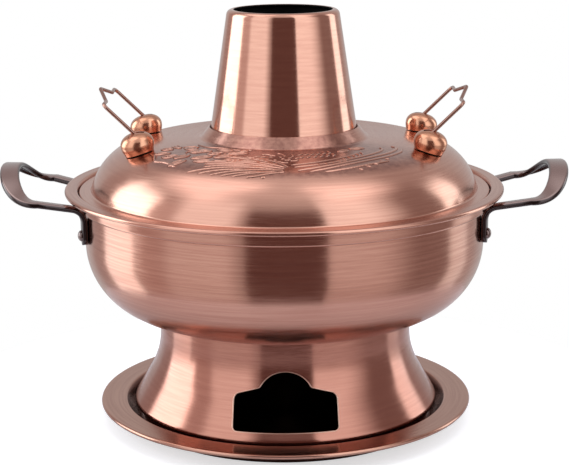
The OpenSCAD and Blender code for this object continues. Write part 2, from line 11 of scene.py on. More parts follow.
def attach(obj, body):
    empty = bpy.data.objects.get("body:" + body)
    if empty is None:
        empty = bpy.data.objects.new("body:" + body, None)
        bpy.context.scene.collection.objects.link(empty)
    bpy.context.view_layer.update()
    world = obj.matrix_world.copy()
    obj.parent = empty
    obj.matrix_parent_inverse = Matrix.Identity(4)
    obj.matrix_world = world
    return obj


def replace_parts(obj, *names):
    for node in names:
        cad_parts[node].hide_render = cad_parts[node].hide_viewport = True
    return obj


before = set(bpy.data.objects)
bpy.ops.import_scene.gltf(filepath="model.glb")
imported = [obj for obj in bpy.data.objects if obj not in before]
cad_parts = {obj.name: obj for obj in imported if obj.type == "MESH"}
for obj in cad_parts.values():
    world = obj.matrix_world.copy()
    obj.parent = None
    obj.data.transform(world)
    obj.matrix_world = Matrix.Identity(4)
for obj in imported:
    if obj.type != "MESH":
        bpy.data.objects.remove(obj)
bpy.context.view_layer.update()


# ---- Tray -------------------------------------------------------------------------------
# A saucer spun from one sheet of steel: a sunk well for the stand, a flat flange, and a rim
# that is rolled under. Plated in copper tone and brushed on the lathe, so the marks run round.

MM = 0.001
ON_AXIS = 1e-7


def arc(x, z, r, first, last, step=3.0):
    """Points on an arc round (x, z) from one angle to another, in degrees."""
    n = max(2, math.ceil(abs(last - first) / step))
    turns = [math.radians(first + (last - first) * i / n) for i in range(n + 1)]
    return [(x + r * math.cos(t), z + r * math.sin(t)) for t in turns]


def bend(before, corner, after, r):
    """The arc of radius r that rounds a corner between two straights."""
    b = Vector(corner[:2])
    u = (Vector(before[:2]) - b).normalized()
    v = (Vector(after[:2]) - b).normalized()
    half = math.acos(max(-1, min(1, u.dot(v)))) / 2
    m = b + (u + v).normalized() * (r / math.sin(half))
    p = b + u * (r / math.tan(half)) - m
    q = b + v * (r / math.tan(half)) - m
    first = math.degrees(math.atan2(p.y, p.x))
    sweep = (math.degrees(math.atan2(q.y, q.x)) - first + 180) % 360 - 180
    return arc(m.x, m.y, r, first, first + sweep)


def rounded(corners):
    """A path through corners (x, z, radius), each inner one rounded to its radius."""
    path = []
    for i, c in enumerate(corners):
        if 0 < i < len(corners) - 1 and c[2] > 0:
            path += bend(corners[i - 1], c, corners[i + 1], c[2])
        else:
            path.append((c[0], c[1]))
    return path


def beside(path, t):
    """The path's other side at distance t to its left, run backwards."""
    p = np.array(path, float)
    d = np.diff(p, axis=0)
    d /= np.linalg.norm(d, axis=1)[:, None]
    left = np.stack([-d[:, 1], d[:, 0]], 1)
    a = np.vstack([left[:1], left])
    b = np.vstack([left, left[-1:]])
    m = a + b
    m /= np.linalg.norm(m, axis=1)[:, None]
    m /= (m * a).sum(1)[:, None]
    return [tuple(q) for q in (p + t * m)[::-1]]


def split_long(path, most):
    """The same path with no stretch longer than most, so that marks and shading stay even."""
    out = [path[0]]
    for a, b in zip(path, path[1:]):
        n = max(1, math.ceil(math.dist(a, b) / most))
        out += [(a[0] + (b[0] - a[0]) * i / n, a[1] + (b[1] - a[1]) * i / n) for i in range(1, n + 1)]
    return out


def in_scene(name, mesh):
    """An object in the scene that shows a mesh, a curve, a lamp or a camera."""
    piece = bpy.data.objects.new(name, mesh)
    bpy.context.scene.collection.objects.link(piece)
    return piece


def closed_mesh(name, bm, crease):
    """The mesh of a closed bmesh, faces outwards and sharp where it turns past crease degrees."""
    bmesh.ops.recalc_face_normals(bm, faces=bm.faces)
    mesh = bpy.data.meshes.new(name)
    bm.to_mesh(mesh)
    bm.free()
    mesh.set_sharp_from_angle(angle=math.radians(crease))
    return mesh


def spun(name, outline, closed=True, columns=288, inner_from=None):
    """A piece turned round Z from an outline in mm. Faces from point inner_from on get slot 1."""
    pts = [(r * MM, z * MM) for r, z in outline]
    if closed:
        pts.append(pts[0])
    along = [0.0]
    for a, b in zip(pts, pts[1:]):
        along.append(along[-1] + math.dist(a, b))
    rows = len(pts) - 1 if closed else len(pts)
    turns = [2 * math.pi * (k / columns) - math.pi / 2 for k in range(columns)]
    bm = bmesh.new()
    ring = []
    for r, z in pts[:rows]:
        if r < ON_AXIS:
            ring.append([bm.verts.new((0, 0, z))] * columns)
        else:
            ring.append([bm.verts.new((r * math.cos(t), r * math.sin(t), z)) for t in turns])
    uv = bm.loops.layers.uv.new("spin")
    for i in range(len(pts) - 1):
        j = (i + 1) % rows
        for k in range(columns):
            n = (k + 1) % columns
            corners = [(ring[i][k], i, k), (ring[j][k], i + 1, k)]
            corners += [(ring[j][n], i + 1, k + 1), (ring[i][n], i, k + 1)]
            once = []
            for c in corners:
                if c[0] not in [o[0] for o in once]:
                    once.append(c)
            if len(once) < 3:
                continue
            face = bm.faces.new([c[0] for c in once])
            face.smooth = True
            if inner_from is not None and i >= inner_from:
                face.material_index = 1
            for loop, c in zip(face.loops, once):
                loop[uv].uv = (along[c[1]], c[2] / columns)
    return in_scene(name, closed_mesh(name, bm, 50))


def add(tree, kind, links=(), **values):
    """A shader node with its settings, its sockets' values and its incoming links."""
    node = tree.nodes.new(kind)
    for key, value in values.items():
        if hasattr(node, key):
            setattr(node, key, value)
        else:
            node.inputs[key.replace("_", " ")].default_value = value
    for socket, source in dict(links).items():
        tree.links.new(source, node.inputs[socket])
    return node


def maths(tree, a, b, operation):
    """What a maths node makes of two sockets or numbers."""
    node = tree.nodes.new("ShaderNodeMath")
    node.operation = operation
    for socket, value in zip(node.inputs, (a, b)):
        if isinstance(value, (int, float)):
            socket.default_value = value
        else:
            tree.links.new(value, socket)
    return node.outputs[0]


def ramp(tree, value, low, high, first=0.0, last=1.0, **more):
    """A value's way from low to high, told as a number from first to last."""
    node = add(tree, "ShaderNodeMapRange", {"Value": value}, From_Min=low, From_Max=high, **more)
    node.inputs["To Min"].default_value = first
    node.inputs["To Max"].default_value = last
    return node.outputs[0]


def over(tree, factor, under, top):
    """One colour over another by a factor. Each is a socket or three numbers."""
    node = add(tree, "ShaderNodeMix", {"Factor": factor}, data_type="RGBA")
    for label, tone in (("A", under), ("B", top)):
        if isinstance(tone, (tuple, list)):
            node.inputs[label].default_value = (*tone, 1)
        else:
            tree.links.new(tone, node.inputs[label])
    return node.outputs["Result"]


def noise(tree, scale, detail):
    """A noise over the piece, at a scale per metre."""
    place = add(tree, "ShaderNodeTexCoord").outputs["Object"]
    return add(tree, "ShaderNodeTexNoise", {"Vector": place}, Scale=scale, Detail=detail).outputs["Fac"]


def lathe_marks():
    """Group: what a brush leaves on a turned piece, in fine lines and broad streaks round Z."""
    tree = bpy.data.node_groups.new("Lathe marks", "ShaderNodeTree")
    for name, low, value in (("Line Width", 0.0001, 0.0008), ("Streak Width", 0.0005, 0.002)):
        s = tree.interface.new_socket(name, in_out="INPUT", socket_type="NodeSocketFloat")
        s.default_value = value
        s.min_value = low
    for name in ("Lines", "Streaks", "Cloud"):
        tree.interface.new_socket(name, in_out="OUTPUT", socket_type="NodeSocketFloat")
    enter = tree.nodes.new("NodeGroupInput").outputs
    leave = tree.nodes.new("NodeGroupOutput").inputs
    xyz = add(tree, "ShaderNodeSeparateXYZ", {0: add(tree, "ShaderNodeTexCoord").outputs["Object"]}).outputs
    flat = add(tree, "ShaderNodeCombineXYZ", {0: xyz[0], 1: xyz[1]}).outputs[0]
    radius = add(tree, "ShaderNodeVectorMath", {0: flat}, operation="LENGTH").outputs["Value"]
    way = add(tree, "ShaderNodeVectorMath", {0: flat}, operation="NORMALIZE").outputs[0]
    spot = add(tree, "ShaderNodeSeparateXYZ", {0: way}).outputs

    def rings(width, reach, detail):
        per = maths(tree, 1.0, width, "DIVIDE")
        r, z = (maths(tree, size, per, "MULTIPLY") for size in (radius, xyz[2]))
        x, y = (maths(tree, spot[i], reach, "MULTIPLY") for i in (0, 1))
        links = {"Vector": add(tree, "ShaderNodeCombineXYZ", {0: x, 1: y, 2: r}).outputs[0], "W": z}
        lines = add(tree, "ShaderNodeTexNoise", links, noise_dimensions="4D", Scale=1.0, Detail=detail)
        return lines.outputs["Fac"]

    tree.links.new(rings(enter["Line Width"], 9.0, 3.0), leave["Lines"])
    tree.links.new(rings(enter["Streak Width"], 2.2, 1.0), leave["Streaks"])
    tree.links.new(noise(tree, 9.0, 2.0), leave["Cloud"])
    return tree


marks = lathe_marks()


def bare(name, metallic):
    """A new material with nothing linked to its shader yet."""
    mat = bpy.data.materials.new(name)
    mat.use_nodes = True
    mat.node_tree.nodes["Principled BSDF"].inputs["Metallic"].default_value = metallic
    return mat


def dress(mat, colour, rough, height=None, strength=0.5, distance=0.0):
    """Gives a material its colour, its roughness and, where it has a height, its bumps."""
    tree = mat.node_tree
    shader = tree.nodes["Principled BSDF"].inputs
    tree.links.new(colour, shader["Base Color"])
    if isinstance(rough, float):
        shader["Roughness"].default_value = rough
    else:
        tree.links.new(rough, shader["Roughness"])
    if height is not None:
        bump = add(tree, "ShaderNodeBump", {"Height": height}, Strength=strength, Distance=distance)
        tree.links.new(bump.outputs[0], shader["Normal"])
    return mat


def brushed_copper(name, tone, rough=(0.13, 0.23), line=0.0007, streak=0.0018, depth=0.28, relief=0.000008):
    """Copper-toned steel, brushed round Z, so that reflections smear along the profile."""
    mat = bare(name, 1.0)
    tree = mat.node_tree
    shader = tree.nodes["Principled BSDF"].inputs
    shader["Anisotropic"].default_value = 0.85
    worn = add(tree, "ShaderNodeGroup", node_tree=marks)
    worn.inputs["Line Width"].default_value = line
    worn.inputs["Streak Width"].default_value = streak
    lines, streaks, cloud = (worn.outputs[label] for label in ("Lines", "Streaks", "Cloud"))
    streaked = (tone[0] * (1 - depth * 0.7), tone[1] * (1 - depth), tone[2] * (1 - depth))
    aged = (tone[0] * 0.88, tone[1] * 0.84, tone[2] * 0.86)
    colour = over(tree, ramp(tree, streaks, 0.36, 0.64), tone, streaked)
    colour = over(tree, ramp(tree, cloud, 0.3, 0.7, 0.0, 0.5), colour, aged)
    dress(mat, colour, ramp(tree, lines, 0.3, 0.7, *rough), maths(tree, lines, streaks, "ADD"), 0.5, relief)
    tangent = add(tree, "ShaderNodeTangent", direction_type="UV_MAP", uv_map="spin")
    tree.links.new(tangent.outputs[0], shader["Tangent"])
    return mat


def off_axis(tree):
    """How far a place on the piece is from Z's axis."""
    spot = add(tree, "ShaderNodeSeparateXYZ", {0: add(tree, "ShaderNodeTexCoord").outputs["Object"]}).outputs
    flat = add(tree, "ShaderNodeCombineXYZ", {0: spot[0], 1: spot[1]})
    return add(tree, "ShaderNodeVectorMath", {0: flat.outputs[0]}, operation="LENGTH").outputs["Value"]


def tint(mat, factor, tone):
    """Lays a tone over the colour that a material has, by a factor."""
    tree = mat.node_tree
    base = tree.nodes["Principled BSDF"].inputs["Base Color"]
    tree.links.new(over(tree, factor, base.links[0].from_socket, tone), base)


TRAY_R = 138
TRAY_H = 16.2
TRAY_WELL_R = 119.3
TRAY_FLOOR_R = 109
TRAY_T = 1
TRAY_BEAD_R = 1.6
# Painted shade in the groove under the stand's foot: its inner and outer radii in metres, and its tone.
GROOVE_SHADE_IN = (100 * MM, 107 * MM)
GROOVE_SHADE_OUT = (118 * MM, 119.5 * MM)
GROOVE_SHADE_TONE = (0.16, 0.075, 0.06)


def rim_roll(x, z, r):
    """Corners of a rim at radius x and height z that curls down and back under itself."""
    return [(x, z, r * 0.98), (x, z - 2 * r, r * 0.98), (x - 1.2 * r, z - 2 * r, 0)]


well = [(0, TRAY_T, 0), (TRAY_FLOOR_R, TRAY_T, 2.5), (TRAY_WELL_R, TRAY_H, 1.5)]
tray_top = split_long(rounded(well + rim_roll(TRAY_R, TRAY_H, TRAY_BEAD_R)), 4)
tray = spun("tray_saucer", tray_top + beside(tray_top, -TRAY_T), closed=False)
tray_copper = brushed_copper("tray copper", (0.57, 0.32, 0.245), depth=0.2)
# The groove round the stand's foot gets painted shade: a darker ring where the stand's foot shades the tray's
# well.
tree = tray_copper.node_tree
reach = off_axis(tree)
groove_shade = maths(tree, ramp(tree, reach, *GROOVE_SHADE_OUT, 1.0, 0.0), ramp(tree, reach, *GROOVE_SHADE_IN), "MULTIPLY")
tint(tray_copper, groove_shade, GROOVE_SHADE_TONE)
tray.data.materials.append(tray_copper)
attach(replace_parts(tray, "tray"), "tray")


# ---- Stand ------------------------------------------------------------------------------
# The waisted foot, spun from one sheet: an upright neck under the pan, a flare, and a rolled
# foot bead over a hidden ring. The fire door is pressed out of its front.

STAND_T = 1
STAND_TOP = 80.8
NECK_R = 92.8
FLARE_R = 59
FLARE_Z = TRAY_T + 66
SKIRT_LEAN = 30
BEAD_Z = TRAY_T + 9.9
FOOT_R = 107
flare = arc(NECK_R + FLARE_R, FLARE_Z, FLARE_R, 180, 180 + SKIRT_LEAN)
bead_r = flare[-1][0] + math.tan(math.radians(SKIRT_LEAN)) * (flare[-1][1] - BEAD_Z)
stand_foot = rounded([(*flare[-1], 0), (bead_r, BEAD_Z, 4.5), (FOOT_R, BEAD_Z, 0.8), (FOOT_R, TRAY_T, 0)])
stand_path = split_long([(NECK_R, STAND_TOP), *flare, *stand_foot[1:]], 3)
stand = spun("stand_shell", stand_path + beside(stand_path, -STAND_T), inner_from=len(stand_path) - 1)

DOOR_W = 74.6
DOOR_SILL_Z = TRAY_T + 20.4
DOOR_SIDE_X = DOOR_W / 2 - 1.1
DOOR_SIDE_Z = TRAY_T + 43.5
DOOR_SLOPE = 16
ARCH_R = 20
ARCH_Z = TRAY_T + 60 - ARCH_R
NOTCH_R = 3


def door_outline():
    """Half of the door's outline in mm as (x, z), from the sill's middle to the arch's top."""
    slope = math.radians(DOOR_SLOPE)
    along, up = Vector((math.cos(slope), -math.sin(slope))), Vector((math.sin(slope), math.cos(slope)))
    arch = Vector((0, ARCH_Z))
    lift = (Vector((DOOR_SIDE_X, DOOR_SIDE_Z)) - arch).dot(up) + NOTCH_R
    notch = arch + up * lift + along * math.sqrt((ARCH_R + NOTCH_R) ** 2 - lift ** 2)
    touch = notch - up * NOTCH_R
    turn = math.degrees(math.atan2(arch.y - notch.y, arch.x - notch.x))
    side = [(0, DOOR_SILL_Z, 0), (DOOR_W / 2, DOOR_SILL_Z, 3), (DOOR_SIDE_X, DOOR_SIDE_Z, 6), (*touch, 0)]
    into_arch = arc(*notch, NOTCH_R, -90 - DOOR_SLOPE, turn)[1:]
    return rounded(side) + into_arch + arc(0, ARCH_Z, ARCH_R, turn + 180, 90)[1:]


def prism(name, outline, y0, y1):
    """A closed block with an outline in x and z, between two places along Y, all in mm."""
    mesh = bpy.data.meshes.new(name)
    n = len(outline)
    points = [(x * MM, y * MM, z * MM) for y in (y0, y1) for x, z in outline]
    sides = [(i, (i + 1) % n, n + (i + 1) % n, n + i) for i in range(n)]
    mesh.from_pydata(points, [], sides + [tuple(range(n))[::-1], tuple(range(n, 2 * n))])
    block = bmesh.new()
    block.from_mesh(mesh)
    bmesh.ops.recalc_face_normals(block, faces=block.faces)
    block.to_mesh(mesh)
    block.free()
    return in_scene(name, mesh)


def settle(piece):
    """Turns a piece's modifiers into plain mesh and removes them."""
    done = bpy.data.meshes.new_from_object(piece.evaluated_get(bpy.context.evaluated_depsgraph_get()))
    piece.modifiers.clear()
    piece.data = done


def cut_out(piece, block):
    """Cuts a block's shape out of a piece and removes the block."""
    cut = piece.modifiers.new("cut", "BOOLEAN")
    cut.operation = "DIFFERENCE"
    cut.solver = "EXACT"
    cut.object = block
    settle(piece)
    bpy.data.objects.remove(block)


def soot(name, tone=(0.012, 0.011, 0.011)):
    """Bare steel inside the fire's way: matt, dark and uneven with soot."""
    mat = bare(name, 0.0)
    tree = mat.node_tree
    tree.nodes["Principled BSDF"].inputs["Specular IOR Level"].default_value = 0.15
    blot = noise(tree, 60.0, 5.0)
    colour = over(tree, blot, [0.4 * c for c in tone], tone)
    return dress(mat, colour, ramp(tree, blot, 0.0, 1.0, 0.75, 1.0))


half_door = door_outline()
door_loop = half_door + [(-x, z) for x, z in half_door[-2:0:-1]]
stand_copper = brushed_copper("stand copper", (0.50, 0.235, 0.18), streak=0.0013, depth=0.14, relief=0.000006)
for mat in (stand_copper, soot("stand inside")):
    stand.data.materials.append(mat)
cut_out(stand, prism("door cutter", door_loop, -150, 0))
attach(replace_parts(stand, "stand"), "pot")


def wire_tree(name):
    """Geometry nodes: a round wire along the curve that it is given."""
    tree = bpy.data.node_groups.new(name, "GeometryNodeTree")
    tree.interface.new_socket("Path", in_out="INPUT", socket_type="NodeSocketGeometry")
    radius = tree.interface.new_socket("Wire Radius", in_out="INPUT", socket_type="NodeSocketFloat")
    radius.default_value = 0.001
    tree.interface.new_socket("Sides", in_out="INPUT", socket_type="NodeSocketInt").default_value = 16
    tree.interface.new_socket("Finish", in_out="INPUT", socket_type="NodeSocketMaterial")
    tree.interface.new_socket("Wire", in_out="OUTPUT", socket_type="NodeSocketGeometry")
    enter = tree.nodes.new("NodeGroupInput").outputs
    links = {"Radius": enter["Wire Radius"], "Resolution": enter["Sides"]}
    ring = add(tree, "GeometryNodeCurvePrimitiveCircle", links)
    links = {"Curve": enter["Path"], "Profile Curve": ring.outputs["Curve"]}
    skin = add(tree, "GeometryNodeCurveToMesh", links)
    skin.inputs["Fill Caps"].default_value = True
    even = add(tree, "GeometryNodeSetShadeSmooth", {"Geometry": skin.outputs[0]})
    real = add(tree, "GeometryNodeRealizeInstances", {0: even.outputs[0]})
    done = add(tree, "GeometryNodeSetMaterial", {"Geometry": real.outputs[0], "Material": enter["Finish"]})
    tree.links.new(done.outputs[0], tree.nodes.new("NodeGroupOutput").inputs["Wire"])
    return tree


def set_input(modifier, label, value):
    for item in modifier.node_group.interface.items_tree:
        if item.item_type == "SOCKET" and item.in_out == "INPUT" and item.name == label:
            modifier[item.identifier] = value


wires = wire_tree("Round wire")


def wire(name, points, radius, finish, cyclic=False, sides=16):
    """A wire of the given radius through points in metres, as a plain mesh."""
    curve = bpy.data.curves.new(name + " path", "CURVE")
    curve.dimensions = "3D"
    spline = curve.splines.new("POLY")
    spline.points.add(len(points) - 1)
    for q, p in zip(spline.points, points):
        q.co = (*p, 1)
    spline.use_cyclic_u = cyclic
    path = in_scene(name + " path", curve)
    bend_wire = path.modifiers.new("wire", "NODES")
    bend_wire.node_group = wires
    for label, value in (("Wire Radius", radius), ("Sides", sides), ("Finish", finish)):
        set_input(bend_wire, label, value)
    mesh = bpy.data.meshes.new_from_object(path.evaluated_get(bpy.context.evaluated_depsgraph_get()))
    bpy.data.objects.remove(path)
    mesh.name = name
    return in_scene(name, mesh)


def stand_r_at(z):
    """Outer radius of the stand's wall at height z in mm, above its bead."""
    outside = sorted((h, r) for r, h in stand_path if h > BEAD_Z + 5)
    return float(np.interp(z, [h for h, _ in outside], [r for _, r in outside]))


def polished_and_highlit_edge(name):
    """Copper tone polished bright along a cut edge, paler than the stand partly as a painted highlight."""
    mat = bare(name, 1.0)
    tree = mat.node_tree
    wear_and_highlight = noise(tree, 140.0, 2.0)
    # Painted highlight: the pale tone makes the edge brighter than polish alone.
    colour = over(tree, wear_and_highlight, (0.86, 0.60, 0.50), (0.62, 0.36, 0.28))
    return dress(mat, colour, ramp(tree, wear_and_highlight, 0.0, 1.0, 0.3, 0.5))


# The door's cut edge is dressed to a smooth round lip, which shows as a thin bright line. Its pale tone is
# partly polish and partly a painted highlight.
LIP_R = 0.52
lip_line = []
for x, z in split_long(door_loop + door_loop[:1], 1.5)[:-1]:
    r = stand_r_at(z) - STAND_T / 2
    lip_line.append((x * MM, -math.sqrt(r * r - x * x) * MM, z * MM))
lip = wire("fire_door_lip", lip_line, LIP_R * MM, polished_and_highlit_edge("door lip copper with painted highlight"), cyclic=True, sides=10)
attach(lip, "pot")


# ---- Pan --------------------------------------------------------------------------------
# The round pan, spun from thin sheet: a nearly flat bottom, a full rounded side, an upright
# wall, a ledge for the lid, a band that rises upright and then leans out, and a flat rim
# rolled under. It is brushed coarsely.

PAN_R = 146
PAN_T = 0.8
PAN_IN = PAN_R - PAN_T
ROUND_R = 53.7
FLOOR_R = 400
CROWN_Z = STAND_TOP + 0.04 + math.sqrt(FLOOR_R ** 2 - (NECK_R - STAND_T) ** 2)
ROUND_Z = CROWN_Z - math.sqrt((FLOOR_R - ROUND_R) ** 2 - (PAN_R - ROUND_R) ** 2)
LEDGE_UNDER = ROUND_Z + 27
LEDGE_Z = LEDGE_UNDER + PAN_T
LEDGE_W = 3.9
BAND_Z = LEDGE_Z + 7
BAND_OUT = 4.2
RIM_TOP = LEDGE_UNDER + 12.7
RIM_IN = 5.9
RIM_R = PAN_R + 14
TUBE_TOP = RIM_TOP + 127.8
TUBE_TOP_R = 40.2
TUBE_TAPER = 0.15


def tube_r(z):
    """Outer radius of the fire tube at height z in mm."""
    return TUBE_TOP_R + (TUBE_TOP - z) * TUBE_TAPER


meets = math.degrees(math.atan2(ROUND_Z - CROWN_Z, PAN_R - ROUND_R))
# The tube meets the pan's bottom at a radius of about 73.6 mm, which gives the height there.
hole = tube_r(CROWN_Z - math.sqrt(FLOOR_R ** 2 - 73.6 ** 2)) + 0.05
inner_r = FLOOR_R - PAN_T
pan_in = arc(0, CROWN_Z, inner_r, -90 + math.degrees(math.asin(hole / inner_r)), meets, 0.5)
pan_in += arc(PAN_R - ROUND_R, ROUND_Z, ROUND_R - PAN_T, meets, 0, 2)[1:]
pan_in += rounded([
    (PAN_IN, ROUND_Z, 0), (PAN_IN, LEDGE_Z, 1), (PAN_IN + LEDGE_W, LEDGE_Z, 0.9),
    (PAN_IN + BAND_OUT, BAND_Z, 4), (PAN_IN + RIM_IN, RIM_TOP, 1.6), *rim_roll(RIM_R, RIM_TOP, 1.7),
])[1:]
pan_in = split_long(pan_in, 3)
pan = spun("pan_shell", pan_in + beside(pan_in, -PAN_T))
pan.data.materials.append(brushed_copper(
    "pan copper", (0.65, 0.35, 0.27), rough=(0.14, 0.25), line=0.0008, streak=0.0013, depth=0.22,
    relief=0.000007,
))
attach(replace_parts(pan, "bowl"), "pot")


# ---- Fire tube --------------------------------------------------------------------------
# The tapered tube that holds the charcoal and runs up as the chimney. Its mouth is curled in.
# Outside it is brushed copper tone, and inside it is black with soot.

TUBE_FOOT = 72.5
TUBE_T = 1
mouth = [(TUBE_TOP_R, TUBE_TOP, 4), (TUBE_TOP_R - 4.5, TUBE_TOP - 0.5, 0)]
tube_out = split_long(rounded([(tube_r(TUBE_FOOT), TUBE_FOOT, 0), *mouth]), 5)
tube = spun("fire_tube_shell", tube_out + beside(tube_out, TUBE_T), inner_from=len(tube_out) - 1)
tube.data.materials.append(brushed_copper("tube copper", (0.70, 0.38, 0.29), rough=(0.11, 0.2), depth=0.14))
tube.data.materials.append(soot("tube inside", tone=(0.008, 0.007, 0.007)))
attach(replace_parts(tube, "fire_tube"), "pot")


# ---- Grate ------------------------------------------------------------------------------
# A slotted plate of plain iron on a ring inside the tube's foot, burnt dull by the charcoal.
# Both are the frame's own solids with an iron finish.

def burnt_iron(name, tone):
    """Plain iron burnt dull: scaled in patches, with a fine dry grain."""
    mat = bare(name, 0.6)
    tree = mat.node_tree
    grain = noise(tree, 900.0, 4.0)
    colour = over(tree, noise(tree, 70.0, 3.0), tone, (tone[0] * 1.9, tone[1] * 1.5, tone[2] * 1.3))
    return dress(mat, colour, ramp(tree, grain, 0.0, 1.0, 0.55, 0.85), grain, 0.5, 0.0001)


def finish_node(name, mat):
    """Gives a node of the frame its material."""
    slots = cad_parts[name].data.materials
    slots.clear()
    slots.append(mat)


finish_node("grate", burnt_iron("grate iron", (0.03, 0.028, 0.027)))
finish_node("grate_ring", burnt_iron("grate ring iron", (0.035, 0.032, 0.03)))


# ---- Handles ----------------------------------------------------------------------------
# Two cast channel-section straps, bent up and out into an arched grip, plated in dark bronze.
# Each stands on two feet that are riveted to the pan's wall.

FOOT_TURN = math.radians(15.6)
STRAP_T = 4.2
STRAP_W = 10
GRIP_W = 14
FOOT_FACE = PAN_R + 0.12
FOOT_Z = LEDGE_UNDER - 23.3
BEND_Z = LEDGE_UNDER - 7.3
BEND_R = 13
CURVE_R = FOOT_FACE + 34.6
CURVE_Z = BEND_Z + 17.5
REACH = 25.3
RISE = 18.3
FULLNESS = 2.3
bend_x = FOOT_FACE + BEND_R
arm_run, arm_rise = CURVE_R - bend_x, CURVE_Z - BEND_Z
ARM = math.atan2(arm_rise, arm_run) - math.asin(BEND_R / math.hypot(arm_run, arm_rise))


def polar(r, z):
    """A place in mm at the handle's foot, r from Z's axis and z up."""
    return Vector((r * math.cos(FOOT_TURN), r * math.sin(FOOT_TURN), z))


def half_handle():
    """Stations from a foot to the grip's middle: (place, plan direction, steepness, width, channel)."""
    out = []
    for i in range(8):
        z = STRAP_W / 2 * (1 - math.cos(math.pi / 2 * (i + 0.35) / 7.35))
        share = max(0.0, 1 - z / (STRAP_W / 2))
        wide = STRAP_W * math.sqrt(max(0.05, 1 - share ** 2))
        out.append((polar(FOOT_FACE, FOOT_Z + z), FOOT_TURN, math.pi / 2, wide, 0.0))
    for i in range(1, 5):
        z = STRAP_W / 2 + (BEND_Z - FOOT_Z - STRAP_W / 2) * i / 4
        out.append((polar(FOOT_FACE, FOOT_Z + z), FOOT_TURN, math.pi / 2, STRAP_W, 0.0))
    for i in range(1, 15):
        a = math.pi - (math.pi / 2 - ARM) * i / 14
        place = polar(bend_x + BEND_R * math.cos(a), BEND_Z + BEND_R * math.sin(a))
        out.append((place, FOOT_TURN, a - math.pi / 2, STRAP_W, i / 14))
    end, start = out[-1][0], polar(CURVE_R, CURVE_Z)
    for i in range(1, 5):
        out.append((end.lerp(start, i / 4), FOOT_TURN, ARM, STRAP_W, 1.0))

    def bow(t):
        x = start.x + REACH * max(0.0, math.cos(t)) ** (2 / FULLNESS)
        y = start.y * math.sin(t) ** (2 / FULLNESS)
        return Vector((x, y, CURVE_Z + RISE * (1 - (y / start.y) ** 2)))

    steps = 44
    for i in range(1, steps + 1):
        t = math.pi / 2 * (1 - (i / steps) ** 1.15)
        v = bow(max(0, t - 0.017)) - bow(min(math.pi / 2, t + 0.017))
        p = bow(t)
        plan, steep = math.atan2(v.y, v.x), math.atan2(v.z, math.hypot(v.x, v.y))
        if i == steps:
            plan, steep = -math.pi / 2, 0
        out.append((p, plan, steep, STRAP_W + (GRIP_W - STRAP_W) * (p.x - start.x) / REACH, 1.0))
    return out


STRAP_EDGE = 1.9
UNDER_EDGE = 0.8
CHANNEL_WALL = 2.2
CHANNEL_DEPTH = 2.2
RUB_AND_HIGHLIGHT_DEPTH = 0.9


def strap_section(w, deep):
    """The strap's section: width across and depth from its top face, edges rounded."""
    h = w / 2
    c = min(STRAP_EDGE, h - 0.2)
    low = UNDER_EDGE * c
    g, d = max(h - CHANNEL_WALL, 0.3), max(0.05, CHANNEL_DEPTH * deep)
    turns = [math.radians(a) for a in (0, 22, 45, 67, 90)]
    side = [(h - c * (1 - math.sin(a)), c * (1 - math.cos(a))) for a in turns]
    side += [(h - low * (1 - math.cos(a)), STRAP_T - low * (1 - math.sin(a))) for a in turns]
    side.append((min(g + 0.15, h - low), STRAP_T))
    side += [(g * 0.94, STRAP_T - d * 0.3), (g * 0.86, STRAP_T - d * 0.8), (g * 0.7, STRAP_T - d)]
    return side + [(-x, y) for x, y in side[::-1]]


def handle(name, sign):
    """A strap swept from its rear foot over the grip to its front foot, with its top face marked for rubbed
    wear and a painted highlight.
    """
    stations = half_handle()
    bm = bmesh.new()
    uv = bm.loops.layers.uv.new("strap")
    top = bm.verts.layers.float.new("top face rub and highlight")
    rings = []
    for m in (1, -1):
        for place, plan, steep, w, deep in (stations if m == 1 else stations[-2::-1]):
            across = Vector((-math.sin(plan), math.cos(plan), 0))
            flat = math.cos(steep)
            along = Vector((flat * math.cos(plan), flat * math.sin(plan), math.sin(steep)))
            out = along.cross(across)
            ring = []
            for q in strap_section(w, deep):
                p = place + across * q[0] - out * q[1]
                ring.append(bm.verts.new((sign * p.x * MM, m * p.y * MM, p.z * MM)))
                # The top face is marked for a paler tone: rubbed wear, and a painted highlight.
                ring[-1][top] = max(0.0, 1 - q[1] / RUB_AND_HIGHLIGHT_DEPTH) if deep > 0.2 else 0.0
            rings.append(ring)
    k = len(rings[0])
    for i in range(len(rings) - 1):
        for j in range(k):
            n = (j + 1) % k
            f = bm.faces.new((rings[i][j], rings[i][n], rings[i + 1][n], rings[i + 1][j]))
            f.smooth = True
            for loop, u, v in zip(f.loops, (i, i, i + 1, i + 1), (j, j + 1, j + 1, j)):
                loop[uv].uv = (u / len(rings), v / k)
    bm.faces.new(rings[0])
    bm.faces.new(rings[-1])
    return in_scene(name, closed_mesh(name, bm, 60))


def dark_bronze(name, tone=(0.07, 0.055, 0.057), rough=(0.13, 0.2)):
    """Dark bronze plating over a cast part: softly uneven, and paler on top, partly where hands rub it and
    partly as a painted highlight.
    """
    mat = bare(name, 1.0)
    tree = mat.node_tree
    cloud = noise(tree, 38.0, 3.0)
    rub_and_highlight = add(tree, "ShaderNodeAttribute", attribute_name="top face rub and highlight").outputs["Fac"]
    colour = over(tree, cloud, [0.7 * c for c in tone], [1.3 * c for c in tone])
    # Painted highlight together with rubbed wear: the top face gets a paler tone.
    colour = over(tree, rub_and_highlight, colour, (0.42, 0.30, 0.285))
    return dress(mat, colour, ramp(tree, cloud, 0.3, 0.7, *rough), noise(tree, 420.0, 3.0), 0.2, 0.00004)


for side, sign in (("left", -1), ("right", 1)):
    strap = handle(f"handle_{side}_strap", sign)
    strap.data.materials.append(dark_bronze(f"handle {side} bronze"))
    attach(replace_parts(strap, f"handle_{side}"), "pot")


# ---- Rivets -----------------------------------------------------------------------------
# Two dome-headed bronze rivets hold each handle. They pass through strap, wall and a steel
# burr washer inside the pan, and are hammered over on it.

